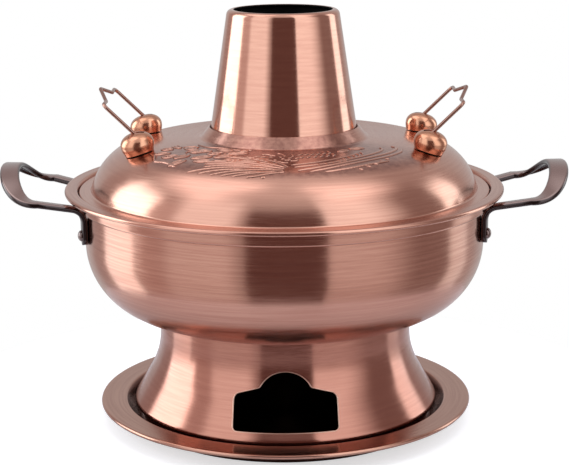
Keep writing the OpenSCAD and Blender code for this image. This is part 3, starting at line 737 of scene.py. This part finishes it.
def rivet_tree():
    """Geometry nodes: a rivet on each given point, with its head turned away from Z's axis."""
    tree = bpy.data.node_groups.new("Rivets", "GeometryNodeTree")
    sockets = tree.interface.new_socket
    sockets("Places", in_out="INPUT", socket_type="NodeSocketGeometry")
    for label, value in (
        ("Head Radius", 0.004), ("Head Height", 0.0028), ("Shank Radius", 0.0021), ("Grip", 0.006),
        ("Tail Height", 0.001),
    ):
        sockets(label, in_out="INPUT", socket_type="NodeSocketFloat").default_value = value
    sockets("Finish", in_out="INPUT", socket_type="NodeSocketMaterial")
    sockets("Rivets", in_out="OUTPUT", socket_type="NodeSocketGeometry")
    enter = tree.nodes.new("NodeGroupInput").outputs

    def moved(shape, z):
        """A shape moved along Z by the number that a socket gives."""
        step = add(tree, "ShaderNodeCombineXYZ", {2: z}).outputs[0]
        return add(tree, "GeometryNodeTransform", {"Geometry": shape.outputs[0], "Translation": step})

    def joined(*shapes):
        whole = add(tree, "GeometryNodeJoinGeometry")
        for shape in shapes:
            tree.links.new(shape.outputs[0], whole.inputs[0])
        return whole.outputs[0]

    ball = add(tree, "GeometryNodeMeshUVSphere", {"Radius": enter["Head Radius"]}, Segments=32, Rings=16)
    squash = maths(tree, enter["Head Height"], enter["Head Radius"], "DIVIDE")
    shape = add(tree, "ShaderNodeCombineXYZ", {2: squash})
    shape.inputs[0].default_value = shape.inputs[1].default_value = 1.0
    flat = add(tree, "GeometryNodeTransform", {"Geometry": ball.outputs[0], "Scale": shape.outputs[0]})
    place = add(tree, "GeometryNodeInputPosition").outputs[0]
    height = add(tree, "ShaderNodeSeparateXYZ", {0: place}).outputs[2]
    low = add(tree, "FunctionNodeCompare", {0: height}, operation="LESS_THAN")
    low.inputs[1].default_value = -0.00001
    links = {"Geometry": flat.outputs[0], "Selection": low.outputs[0]}
    cap = add(tree, "GeometryNodeDeleteGeometry", links, domain="POINT")
    seat = add(tree, "GeometryNodeMeshCircle", {"Radius": enter["Head Radius"]}, fill_type="NGON", Vertices=32)
    seat = add(tree, "GeometryNodeFlipFaces", {0: seat.outputs[0]})
    head = add(tree, "GeometryNodeMergeByDistance", {"Geometry": joined(seat, cap)}, Distance=0.00002)

    links = {"Radius": enter["Shank Radius"], "Depth": enter["Grip"]}
    shank = add(tree, "GeometryNodeMeshCylinder", links, Vertices=24)
    shank = moved(shank, maths(tree, enter["Grip"], -0.5, "MULTIPLY"))
    links = {"Radius": maths(tree, enter["Shank Radius"], 0.001, "ADD"), "Depth": enter["Tail Height"]}
    tail = add(tree, "GeometryNodeMeshCylinder", links, Vertices=24)
    half_tail = maths(tree, enter["Tail Height"], 0.5, "MULTIPLY")
    tail = moved(tail, maths(tree, maths(tree, enter["Grip"], -1.0, "MULTIPLY"), half_tail, "SUBTRACT"))

    out = add(tree, "ShaderNodeVectorMath", {0: place}, operation="MULTIPLY")
    out.inputs[1].default_value = (1, 1, 0)
    turn = add(tree, "FunctionNodeAlignRotationToVector", {"Vector": out.outputs[0]}, axis="Z")
    links = {"Points": enter["Places"], "Instance": joined(tail, shank, head), "Rotation": turn.outputs[0]}
    placed = add(tree, "GeometryNodeInstanceOnPoints", links)
    real = add(tree, "GeometryNodeRealizeInstances", {0: placed.outputs[0]})
    done = add(tree, "GeometryNodeSetMaterial", {"Geometry": real.outputs[0], "Material": enter["Finish"]})
    tree.links.new(done.outputs[0], tree.nodes.new("NodeGroupOutput").inputs["Rivets"])
    return tree


RIVET_Z = LEDGE_UNDER - 16.6
RIVET_SEAT = FOOT_FACE + STRAP_T + 0.04
BURR_T = 0.8
RIVET_END = PAN_IN - 0.12 - BURR_T - 0.08
x, y = RIVET_SEAT * math.cos(FOOT_TURN) * MM, RIVET_SEAT * math.sin(FOOT_TURN) * MM
rivet_mesh = bpy.data.meshes.new("handle rivets")
rivet_mesh.from_pydata([(sx * x, sy * y, RIVET_Z * MM) for sx in (-1, 1) for sy in (-1, 1)], [], [])
rivets = in_scene("handle_rivets", rivet_mesh)
set_rivets = rivets.modifiers.new("rivets", "NODES")
set_rivets.node_group = rivet_tree()
set_input(set_rivets, "Grip", (RIVET_SEAT - RIVET_END) * MM)
set_input(set_rivets, "Finish", dark_bronze("rivet bronze", tone=(0.20, 0.145, 0.14)))
settle(rivets)
rivets.data.set_sharp_from_angle(angle=math.radians(50))
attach(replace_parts(rivets, "handle_left_rivets", "handle_right_rivets"), "pot")


# ---- Lid --------------------------------------------------------------------------------
# A dome spun from thin sheet: a folded flange and skirt that sit on the pan's ledge, a full
# rounded shoulder, a nearly flat crown, and a collar that stands up round the chimney.

LID_T = 0.8
LID_ROUND_R = 43.9
LID_CROWN_R = 1220
LID_COPPER = (0.68, 0.37, 0.285)
SKIRT_R = PAN_R + 2 - PAN_T - 0.5
FLANGE_W = 5.7
FLANGE_Z = LEDGE_Z + 10.2
LID_LEAN = 12.6
LID_X = SKIRT_R - FLANGE_W - LID_ROUND_R * math.cos(math.radians(LID_LEAN))
LID_Z = FLANGE_Z - LID_ROUND_R * math.sin(math.radians(LID_LEAN))
CROWN_AT = LID_Z - math.sqrt((LID_CROWN_R - LID_ROUND_R) ** 2 - LID_X ** 2)


def crown(r):
    """Height of the lid's nearly flat top at radius r, in mm."""
    return CROWN_AT + math.sqrt(LID_CROWN_R ** 2 - r * r)


COLLAR_TOP = crown(tube_r(FLANGE_Z)) + 8
COLLAR_R = tube_r(COLLAR_TOP) + 0.6 + LID_T
COLLAR_FOOT = COLLAR_R + 6.6
joins = math.degrees(math.atan2(LID_Z - CROWN_AT, LID_X))
dome = arc(0, CROWN_AT, LID_CROWN_R, math.degrees(math.acos(COLLAR_FOOT / LID_CROWN_R)), joins, 0.15)
shoulder = arc(LID_X, LID_Z, LID_ROUND_R, joins, LID_LEAN + 2, 2)
skirt_in = SKIRT_R - LID_T
edge_r = SKIRT_R + 2.8
fold_z = FLANGE_Z - 2 * LID_T
lid_top = [(COLLAR_R, COLLAR_TOP), *bend((COLLAR_R, COLLAR_TOP), dome[0], dome[1], 3), *dome[1:], *shoulder[1:]]
flange = [(SKIRT_R - FLANGE_W, FLANGE_Z), (skirt_in, FLANGE_Z)]
lid_top += bend(shoulder[-1], *flange, 1.5) + flange[1:]
lid_top = split_long(lid_top, 3)
hem = rounded([
    (skirt_in, FLANGE_Z, 0), (edge_r, FLANGE_Z, LID_T * 0.96), (edge_r, fold_z, LID_T * 0.96),
    (SKIRT_R, fold_z, 0.3), (SKIRT_R, LEDGE_Z, 0.2), (skirt_in, LEDGE_Z, 0),
])
lid = spun("lid_shell", lid_top + hem[1:] + beside(lid_top, -LID_T), columns=360)

# The ground that the relief stands on is darker: an arc round the front, out to the shoulder.
GROUND_TURN = (0.95, 1.2)
GROUND_R = (116 * MM, 121.5 * MM)
GROUND_TONE = (0.22, 0.09, 0.08)
lid_copper = brushed_copper(
    "lid copper", LID_COPPER, rough=(0.15, 0.26), streak=0.0014, depth=0.12, relief=0.000006,
)
tree = lid_copper.node_tree
spot = add(tree, "ShaderNodeSeparateXYZ", {0: add(tree, "ShaderNodeTexCoord").outputs["Object"]}).outputs
turn = maths(tree, spot[0], maths(tree, spot[1], -1.0, "MULTIPLY"), "ARCTAN2")
turn = maths(tree, turn, 0.0, "ABSOLUTE")
front = maths(
    tree, ramp(tree, turn, *GROUND_TURN, 1.0, 0.0), ramp(tree, off_axis(tree), *GROUND_R, 1.0, 0.0), "MULTIPLY",
)
tint(lid_copper, maths(tree, front, noise(tree, 260.0, 3.0), "MULTIPLY"), GROUND_TONE)
lid.data.materials.append(lid_copper)
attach(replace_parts(lid, "lid"), "lid")


# ---- Lid relief -------------------------------------------------------------------------
# Ornament pressed up out of the lid's top towards the front: a fan of plumes, cloud scrolls,
# rows of scales and beads. It is a general pattern of its own, in low rounded ridges.

RELIEF_H = 0.7
RELIEF_SINK = 0.06
RELIEF_IN, RELIEF_OUT = 64.0, 121.0
RELIEF_TURN = 66.0


def plan(turn, r):
    """A place on the lid seen from above, in mm, from degrees off the front and the radius."""
    return r * math.sin(math.radians(turn)), -r * math.cos(math.radians(turn))


def flowing(marks_at, step=0.7):
    """A smooth line through places (turn, radius), as points in plan."""
    p = np.array([plan(*m) for m in marks_at])
    p = np.vstack([2 * p[0] - p[1], p, 2 * p[-1] - p[-2]])
    line = []
    for a, b, c, d in zip(p, p[1:], p[2:], p[3:]):
        n = max(3, int(np.linalg.norm(c - b) / step))
        t = np.linspace(0, 1, n, endpoint=False)[:, None]
        bent = 2 * b + (c - a) * t + (2 * a - 5 * b + 4 * c - d) * t ** 2
        line.append(0.5 * (bent + (3 * b - a - 3 * c + d) * t ** 3))
    return np.vstack(line + [p[-2:-1]])


def scroll(turn, r, size, start, coils, hand):
    """A cloud scroll: a spiral that tightens round a place on the lid."""
    x, y = plan(turn, r)
    n = int(60 * coils)
    t = np.linspace(0, 1, n)
    a = math.radians(start) + hand * t * coils * 2 * math.pi
    reach = size * (1 - 0.82 * t)
    return np.stack([x + reach * np.cos(a) * 1.25, y + reach * np.sin(a) * 0.8], 1)


def toward(heading):
    """The plan direction of a heading in degrees."""
    return np.array([math.cos(math.radians(heading)), math.sin(math.radians(heading))])


def ray(start, heading, reach, sag):
    """A stroke from a plan point in a heading, in degrees, that sags to one side."""
    along = toward(heading)
    aside = np.array([-along[1], along[0]])
    t = np.linspace(0, 1, max(4, int(reach / 0.7)))[:, None]
    line = np.array(start) + along * reach * t + aside * sag * 4 * t * (1 - t)
    return line[np.hypot(*line.T) < RELIEF_OUT - 2]


# Each stroke is a line in plan and its width in mm. First a fan of long strokes, then the
# clouds' outlines, rows of short strokes, beads, a flower, leaves and scrolls.
strokes = []
focus = np.array(plan(4, 111))
for i in range(18):
    heading = 132 + 3.9 * i
    start = focus + (8, 22, 13, 29)[i % 4] * toward(heading)
    strokes.append((ray(start, heading, (32 + 3 * i) * (1, 0.7)[i % 2], -2), 1.0))
for wide, line in (
    (1.6, [(5, 111), (13, 106), (24, 101), (36, 97), (48, 95), (56, 93), (61, 90), (62, 86)]),
    (1.3, [(9, 113), (20, 107), (32, 103), (44, 101), (54, 99), (60, 96)]),
    (1.3, [(4, 106), (14, 101), (25, 96), (36, 92), (46, 89), (53, 86), (55, 82)]),
    (1.2, [(14, 114), (24, 111), (33, 109), (41, 109)]),
    (1.2, [(3, 101), (12, 96), (22, 91), (31, 87), (38, 83)]),
    (1.1, [(-40, 115), (-46, 112), (-52, 113), (-57, 108), (-62, 107)]),
    (1.0, [(-20, 63.5), (-30, 66), (-40, 65), (-50, 69), (-60, 70)]),
):
    strokes.append((flowing(line), wide))
for i in range(9):
    turn, r = 12 + 3.4 * i, 101 - 2.3 * i
    strokes.append((ray(plan(turn, r), -62 - 2 * i, 6.5, 1.2), 0.8))
for row in range(2):
    for i in range(6):
        strokes.append((ray(plan(9 + 3.2 * i, 70 + 7 * row), 255 + 4 * i, 6.5, 1.8), 0.9))
for i in range(5):
    x, y = plan(27 + 3.8 * i, 114 - 2.2 * i)
    strokes.append((np.array([[x - 0.5, y], [x, y], [x + 0.5, y]]), 1.1))
for ring, petals in ((3.0, 5), (6.5, 8), (10.0, 10)):
    for i in range(petals):
        a = 360 * i / petals + 14 * ring
        x, y = plan(-4, 84)
        x, y = x + ring * 1.35 * math.cos(math.radians(a)), y + ring * math.sin(math.radians(a))
        strokes.append((ray((x, y), a + 62, 1.6 + 0.42 * ring, -0.9), 0.9))
for turn, r, heading, reach, wide in (
    (-20, 72, 175, 15, 3.0), (-26, 80, 200, 14, 3.0), (-31, 69, 150, 13, 2.6), (-34, 88, 190, 15, 3.2),
    (-41, 76, 165, 14, 3.0), (-45, 92, 215, 13, 2.8), (-50, 79, 140, 12, 2.6), (-55, 96, 185, 12, 2.6),
    (-18, 90, 205, 13, 2.8), (-29, 98, 170, 15, 2.8), (-40, 104, 200, 13, 2.4), (-60, 84, 120, 12, 2.4),
    (40, 70, 20, 12, 2.4), (30, 74, 40, 10, 2.2),
):
    start = plan(turn, r)
    for sag in (wide, -wide):
        strokes.append((ray(start, heading, reach, sag), 0.95))
    strokes.append((ray(start, heading, 0.8 * reach, 0.3), 0.95))
for turn, r, size, start, coils, hand in (
    (-36, 81, 5.0, 20, 1.6, 1), (-47, 84, 5.5, 200, 1.6, -1), (-57, 78, 5.0, 150, 1.5, -1),
    (-50, 103, 5.5, -30, 1.6, 1), (-24, 66.5, 3.6, 0, 1.3, 1), (-62, 92, 4.5, 60, 1.4, 1),
):
    strokes.append((scroll(turn, r, size, start, coils, hand), 1.05))
strokes = [stroke for stroke in strokes if len(stroke[0]) > 1]

# The ridges' height, from 0 to 1, on a fine grid of the lid's front.
GRID_TURNS = 461
GRID_STEP = 0.4
turns = np.radians(np.linspace(-RELIEF_TURN, RELIEF_TURN, GRID_TURNS))
across, outward = np.meshgrid(turns, np.arange(RELIEF_IN, RELIEF_OUT + 0.01, GRID_STEP))
spots = np.stack([outward * np.sin(across), -outward * np.cos(across)], -1).reshape(-1, 2)
rise = np.zeros(len(spots))
for line, wide in strokes:
    taper = np.full(len(line), wide)
    if len(line) > 3:
        taper = wide * np.minimum(1, 0.35 + 2.2 * np.sin(math.pi * np.linspace(0, 1, len(line))))
    middle, half = (line.min(0) + line.max(0)) / 2, (line.max(0) - line.min(0)) / 2
    near = np.flatnonzero((np.abs(spots - middle) < half + wide).all(1))
    gap = np.linalg.norm(spots[near][:, None] - line[None], axis=2) / taper[None]
    share = np.clip(1 - gap.min(1) ** 2, 0, 1)
    rise[near] = np.maximum(rise[near], share * (2 - share))

# The grid is laid on the lid and lifted along its surface's own direction.
profile = np.array([(r, z) for r, z in lid_top if RELIEF_IN - 6 < r < RELIEF_OUT + 6])
flat_r, ring_turn = outward.reshape(-1), across.reshape(-1)
steep = np.interp(flat_r, profile[:, 0], np.gradient(profile[:, 1], profile[:, 0]))
surface = np.interp(flat_r, profile[:, 0], profile[:, 1])
lift = (RELIEF_H * rise - RELIEF_SINK) / np.sqrt(1 + steep ** 2)
out_r = flat_r - steep * lift
verts = np.stack([out_r * np.sin(ring_turn), -out_r * np.cos(ring_turn), surface + lift], 1) * MM
rows, columns = across.shape
bm = bmesh.new()
uv = bm.loops.layers.uv.new("spin")
shade = bm.verts.layers.float.new("rise")
made = {}
for i in range(rows - 1):
    for j in range(columns - 1):
        cell = (i * columns + j, i * columns + j + 1, (i + 1) * columns + j + 1, (i + 1) * columns + j)
        if max(rise[list(cell)]) <= 0:
            continue
        for c in cell:
            if c not in made:
                made[c] = bm.verts.new(verts[c])
                made[c][shade] = rise[c]
        face = bm.faces.new([made[c] for c in cell[::-1]])
        face.smooth = True
        for loop, c in zip(face.loops, cell[::-1]):
            loop[uv].uv = (flat_r[c] * MM, ring_turn[c] / (2 * math.pi))
for face in bm.faces:
    if face.normal.z < 0:
        face.normal_flip()
relief_mesh = bpy.data.meshes.new("lid_relief")
bm.to_mesh(relief_mesh)
bm.free()
relief = in_scene("lid_relief", relief_mesh)
pressed = brushed_copper("relief copper", LID_COPPER, rough=(0.16, 0.26), depth=0.1)
tree = pressed.node_tree
height = add(tree, "ShaderNodeAttribute", attribute_name="rise").outputs["Fac"]
tint(pressed, ramp(tree, height, 0.15, 0.75, 1.0, 0.0), (0.24, 0.095, 0.075))
relief_mesh.materials.append(pressed)
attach(relief, "lid")


# ---- Knobs ------------------------------------------------------------------------------
# Four solid domes in bright copper on thin rubber gaskets, screwed on from under the lid.
# Each has a slot in its top that the bail's leg swings in.

KNOB_R = 12
KNOB_H = 14
KNOB_LEAN = 14.84
KNOB_TURN = 21
KNOB_WAIST = 5.8
KNOB_TUCK = 26
TUCK_Z = 1.4
KNOB_FOOT = 0.7
KNOB_FOOT_R = 10.5
GASKET_GAP = 0.68
PIVOT = (102.635, 40.106, 217.65)
PIVOT_OUT, PIVOT_BACK, PIVOT_UP = 0.5, 0.9, 10.4
WIRE_R = 1.3
BAIL_LEAN = 46
BAIL_LEAN_IN = 34
SLOT_HALF = 1.7
SLOT_PLAY = 0.12
SLOT_REACH = 12


def bright_copper(name, tone=(0.74, 0.39, 0.265), rough=(0.15, 0.25), dents=0.00006):
    """Copper plating polished bright, with a faint haze and slight dents."""
    mat = bare(name, 1.0)
    tree = mat.node_tree
    haze = noise(tree, 160.0, 3.0)
    colour = over(tree, haze, tone, (tone[0] * 0.82, tone[1] * 0.68, tone[2] * 0.6))
    return dress(mat, colour, ramp(tree, haze, 0.3, 0.7, *rough), haze, 0.2, dents)


def slot_outline():
    """The slot that a bail's leg swings in, seen from the front, round the pivot."""
    r = WIRE_R + SLOT_PLAY
    out, back = math.radians(90 - BAIL_LEAN), math.radians(90 + BAIL_LEAN_IN)
    turns = np.linspace(out - math.pi / 2, back + math.pi / 2 - 2 * math.pi, 14)
    low = [(r * math.cos(t), r * math.sin(t)) for t in turns]
    ends = [
        (x + SLOT_REACH * math.cos(t), z + SLOT_REACH * math.sin(t))
        for (x, z), t in ((low[-1], back), (low[0], out))
    ]
    return [(PIVOT[0] + x, PIVOT[2] + z) for x, z in low + ends]


at_foot = (
    Matrix.Translation((PIVOT[0] - PIVOT_OUT, PIVOT[1] - PIVOT_BACK, PIVOT[2] - PIVOT_UP))
    @ Matrix.Rotation(math.radians(KNOB_TURN), 4, "Z") @ Matrix.Rotation(math.radians(KNOB_LEAN), 4, "Y")
)
knob_line = [(0, KNOB_FOOT), (5, KNOB_FOOT), (KNOB_FOOT_R, KNOB_FOOT)]
upper, lower = KNOB_H - KNOB_WAIST, (KNOB_WAIST - TUCK_Z) / math.sin(math.radians(KNOB_TUCK))
for a in [math.radians(degrees) for degrees in range(-KNOB_TUCK, 90, 4)]:
    knob_line.append((KNOB_R * math.cos(a) ** 0.8, KNOB_WAIST + (upper if a > 0 else lower) * math.sin(a)))
knob_line.append((0, KNOB_H))


def seat_on_lid(mesh, gap):
    """Moves a knob's foot along its axis until it follows the lid's rounded shoulder."""
    down = (at_foot.to_3x3() @ Vector((0, 0, -1))).normalized()
    inverse = (Matrix.Scale(MM, 4) @ at_foot).inverted()
    for v in mesh.vertices:
        if (inverse @ v.co).z < KNOB_FOOT + 0.1:
            for _ in range(6):
                x, y, z = v.co / MM
                off = math.hypot(math.hypot(x, y) - LID_X, z - LID_Z) - LID_ROUND_R - gap
                v.co += down * off * MM


for name in ("knob_left_front", "knob_left_rear", "knob_right_front", "knob_right_rear"):
    knob = spun(name + "_dome", knob_line, closed=False, columns=96)
    knob.data.transform(Matrix.Scale(1 / MM, 4))
    knob.data.transform(Matrix.Scale(MM, 4) @ at_foot)
    seat_on_lid(knob.data, GASKET_GAP)
    cut_out(knob, prism("slot", slot_outline(), PIVOT[1] - SLOT_HALF, PIVOT[1] + SLOT_HALF))
    knob.data.transform(Matrix.Diagonal((-1 if "left" in name else 1, -1 if "front" in name else 1, 1, 1)))
    bm = bmesh.new()
    bm.from_mesh(knob.data)
    bmesh.ops.remove_doubles(bm, verts=bm.verts, dist=0.000002)
    bmesh.ops.recalc_face_normals(bm, faces=bm.faces)
    bm.to_mesh(knob.data)
    bm.free()
    knob.data.set_sharp_from_angle(angle=math.radians(35))
    knob.data.materials.clear()
    knob.data.materials.append(bright_copper(name.replace("_", " ") + " copper"))
    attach(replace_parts(knob, name), "lid")


def plain_rubber(name):
    """Black rubber with a fine grain."""
    mat = bare(name, 0.0)
    tree = mat.node_tree
    return dress(mat, over(tree, noise(tree, 1400.0, 2.0), (0.010, 0.010, 0.010), (0.022, 0.021, 0.020)), 0.7)


def plain_steel(name, tone=(0.45, 0.44, 0.43)):
    """Unplated steel with a light haze."""
    mat = bare(name, 1.0)
    tree = mat.node_tree
    haze = noise(tree, 300.0, 3.0)
    colour = over(tree, haze, tone, [0.7 * c for c in tone])
    return dress(mat, colour, ramp(tree, haze, 0.0, 1.0, 0.2, 0.45))


finish_node("knob_gaskets", plain_rubber("gasket rubber"))
finish_node("knob_screws", plain_steel("screw steel"))
finish_node("screw_washers", plain_steel("washer steel"))
finish_node("rivet_washers", plain_steel("rivet washer steel", tone=(0.5, 0.48, 0.46)))


# ---- Bails ------------------------------------------------------------------------------
# Each bail is one length of copper-plated wire. Its ends hook outwards into two knobs, and its
# grip rises to a low peak in the middle. Both lean outwards against the ends of their slots.

BAIL_LEG = 33.3
BAIL_PEAK = 8.5
PEAK_HALF = 22
HOOK_R = 1.6
PIN_LEN = 3.2


def bail_path(sign):
    """The wire's middle line from pin to pin, leaning out, as points in metres."""
    pin_end = PIVOT[1] + HOOK_R + 0.1 + PIN_LEN
    half = [(pin_end, 0, 0), (PIVOT[1], 0, HOOK_R), (PIVOT[1], BAIL_LEG, 4), (PEAK_HALF, BAIL_LEG - 0.3, 3)]
    line = rounded(half + [(0, BAIL_LEG + BAIL_PEAK, 5)] + [(-a, b, r) for a, b, r in half[::-1]])
    lean = math.radians(BAIL_LEAN)
    return [
        (sign * (PIVOT[0] + b * math.sin(lean)) * MM, -a * MM, (PIVOT[2] + b * math.cos(lean)) * MM)
        for a, b in split_long(line, 2.5)
    ]


for side, sign in (("left", -1), ("right", 1)):
    finish = bright_copper(f"bail {side} copper", tone=(0.44, 0.26, 0.22), rough=(0.16, 0.26), dents=0.000005)
    bail = wire(f"bail_{side}_wire", bail_path(sign), WIRE_R * MM, finish, sides=20)
    bail.data.set_sharp_from_angle(angle=math.radians(50))
    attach(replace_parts(bail, f"bail_{side}"), f"bail_{side}")


# ---- Table, studio light and camera -------------------------------------------------------
# A white table under a pale studio: two tall soft boxes beside the camera, soft light from
# above, and the dark of the room behind the camera, which the metal shows as a middle band.

TABLE_R = 0.285
TABLE_GAP = 0.0002
bm = bmesh.new()
bmesh.ops.create_circle(bm, cap_ends=True, segments=128, radius=TABLE_R)
floor_mesh = bpy.data.meshes.new("table top")
bm.to_mesh(floor_mesh)
bm.free()
floor_mesh.transform(Matrix.Translation((0, 0, -TABLE_GAP)))
floor = in_scene("table top", floor_mesh)
white = bare("table white", 0.0)
tree = white.node_tree
shader = tree.nodes["Principled BSDF"].inputs
shader["Roughness"].default_value = 0.8
shader["Specular IOR Level"].default_value = 0.1
shader["Base Color"].default_value = (0.63, 0.64, 0.69, 1)
shader["Emission Color"].default_value = (1, 1, 1, 1)
camera_ray = add(tree, "ShaderNodeLightPath").outputs["Is Camera Ray"]
tree.links.new(maths(tree, camera_ray, 0.6, "MULTIPLY"), shader["Emission Strength"])
floor_mesh.materials.append(white)

world = bpy.data.worlds.new("studio")
bpy.context.scene.world = world
world.use_nodes = True
sky = world.node_tree
sky.nodes.clear()
way = add(sky, "ShaderNodeSeparateXYZ", {0: add(sky, "ShaderNodeTexCoord").outputs["Generated"]}).outputs
azimuth = maths(sky, way[0], maths(sky, way[1], -1.0, "MULTIPLY"), "ARCTAN2")
azimuth = maths(sky, azimuth, 180 / math.pi, "MULTIPLY")
height = maths(sky, maths(sky, way[2], 0.0, "ARCSINE"), 180 / math.pi, "MULTIPLY")


def window(value, low, high, soft_low, soft_high):
    """1 between two angles and 0 outside, each edge with its own softness."""
    soft = {"interpolation_type": "SMOOTHSTEP"}
    up = ramp(sky, value, low - soft_low, low + soft_low, **soft)
    down = ramp(sky, value, high - soft_high, high + soft_high, 1.0, 0.0, **soft)
    return maths(sky, up, down, "MULTIPLY")


def level(strength, warm=0.0):
    """A light's colour: redder the warmer it is, as off warm walls, and bluer below 0."""
    return strength, strength * (1 - 0.42 * warm), strength * (1 - 0.48 * warm)


# Each patch of the studio: azimuth, height, softness of its edges, and its light, from the
# walls behind, over the ceiling and the soft boxes, to the dark gap beside the camera.
room = add(sky, "ShaderNodeRGB").outputs[0]
room.default_value = (*level(0.52, 0.2), 1)
for az, el, soft_az, soft_el, colour in (
    ((-200, -140), (-95, 34), (6, 6), (5, 10), level(0.58)),
    ((140, 200), (-95, 34), (6, 6), (5, 10), level(0.56)),
    ((-200, 200), (60, 95), (5, 5), (9, 5), level(0.92)),
    ((-30, 22), (42, 60), (8, 8), (5, 5), level(0.72)),
    ((-74, -29), (-95, 56), (9, 6), (5, 8), level(0.74, 0.15)),
    ((-74, -29), (-7, 56), (9, 6), (3, 8), level(1.38, -0.12)),
    ((-92, -72), (-95, 34), (3, 7), (5, 8), level(0.6, 0.45)),
    ((66, 108), (-95, 50), (17, 4), (5, 12), level(0.33, 0.45)),
    ((24, 66), (-95, 62), (2, 17), (5, 8), level(0.68, 0.2)),
    ((24, 66), (-7, 62), (2, 17), (3, 8), level(1.45, -0.12)),
    ((-142, -122), (-95, 40), (3, 4), (5, 8), level(0.5, 0.3)),
    ((-140, -58), (48, 84), (14, 18), (10, 6), level(1.9)),
    ((40, 104), (50, 84), (16, 16), (9, 6), level(1.8)),
    ((-123, -95), (-95, 34), (2, 2), (5, 9), level(1.8, -0.2)),
    ((-87, -68), (-7, 34), (3, 5), (3, 8), level(0.8, 0.25)),
    ((-121, -87), (-7, 34), (2, 3), (3, 9), level(3.3, -0.3)),
    ((107, 126), (-95, 28), (3, 4), (5, 8), level(1.0, -0.2)),
    ((108, 127), (-7, 30), (3, 4), (3, 8), level(2.0, -0.25)),
    ((-22, 24), (-95, 42), (2, 1.5), (5, 5), level(0.15, 1.0)),
):
    mask = maths(sky, window(azimuth, *az, *soft_az), window(height, *el, *soft_el), "MULTIPLY")
    room = over(sky, mask, room, colour)
rays = add(sky, "ShaderNodeLightPath").outputs
seen = add(sky, "ShaderNodeBackground", Color=(1, 1, 1, 1), Strength=1.0)
studio = add(sky, "ShaderNodeBackground", {"Color": room}, Strength=1.0)
plain = add(sky, "ShaderNodeBackground", Color=(1, 1, 1, 1), Strength=0.75)
shine = add(sky, "ShaderNodeMixShader", {0: rays["Is Glossy Ray"], 1: plain.outputs[0], 2: studio.outputs[0]})
final = add(sky, "ShaderNodeMixShader", {0: rays["Is Camera Ray"], 1: shine.outputs[0], 2: seen.outputs[0]})
add(sky, "ShaderNodeOutputWorld", {"Surface": final.outputs[0]})

POT_MIDDLE = (0, 0, 0.12)
for name, place, size, watts in (
    ("top light", (0.1, -0.2, 1.5), 1.2, 9.0),
    ("left light", (-1.2, -0.7, 0.9), 0.9, 8.0),
    ("right light", (1.2, -0.5, 0.8), 0.9, 4.0),
):
    lamp = bpy.data.lights.new(name, "AREA")
    lamp.size = size
    lamp.energy = watts
    holder = in_scene(name, lamp)
    holder.location = place
    holder.rotation_euler = (Vector(POT_MIDDLE) - Vector(place)).to_track_quat("-Z", "Y").to_euler()
    holder.visible_glossy = False

EYE = (0, -1.196, 0.418)
EYE_TILT, EYE_ROLL = 76.86, -0.37
camera = bpy.data.cameras.new("camera")
camera.sensor_width = 36
camera.lens = 105.15
eye = in_scene("camera", camera)
eye.location = EYE
tilt, roll = Matrix.Rotation(math.radians(EYE_TILT), 3, "X"), Matrix.Rotation(math.radians(EYE_ROLL), 3, "Z")
eye.rotation_euler = (tilt @ roll).to_euler()
bpy.context.scene.camera = eye
bpy.context.scene.view_settings.view_transform = "Standard"
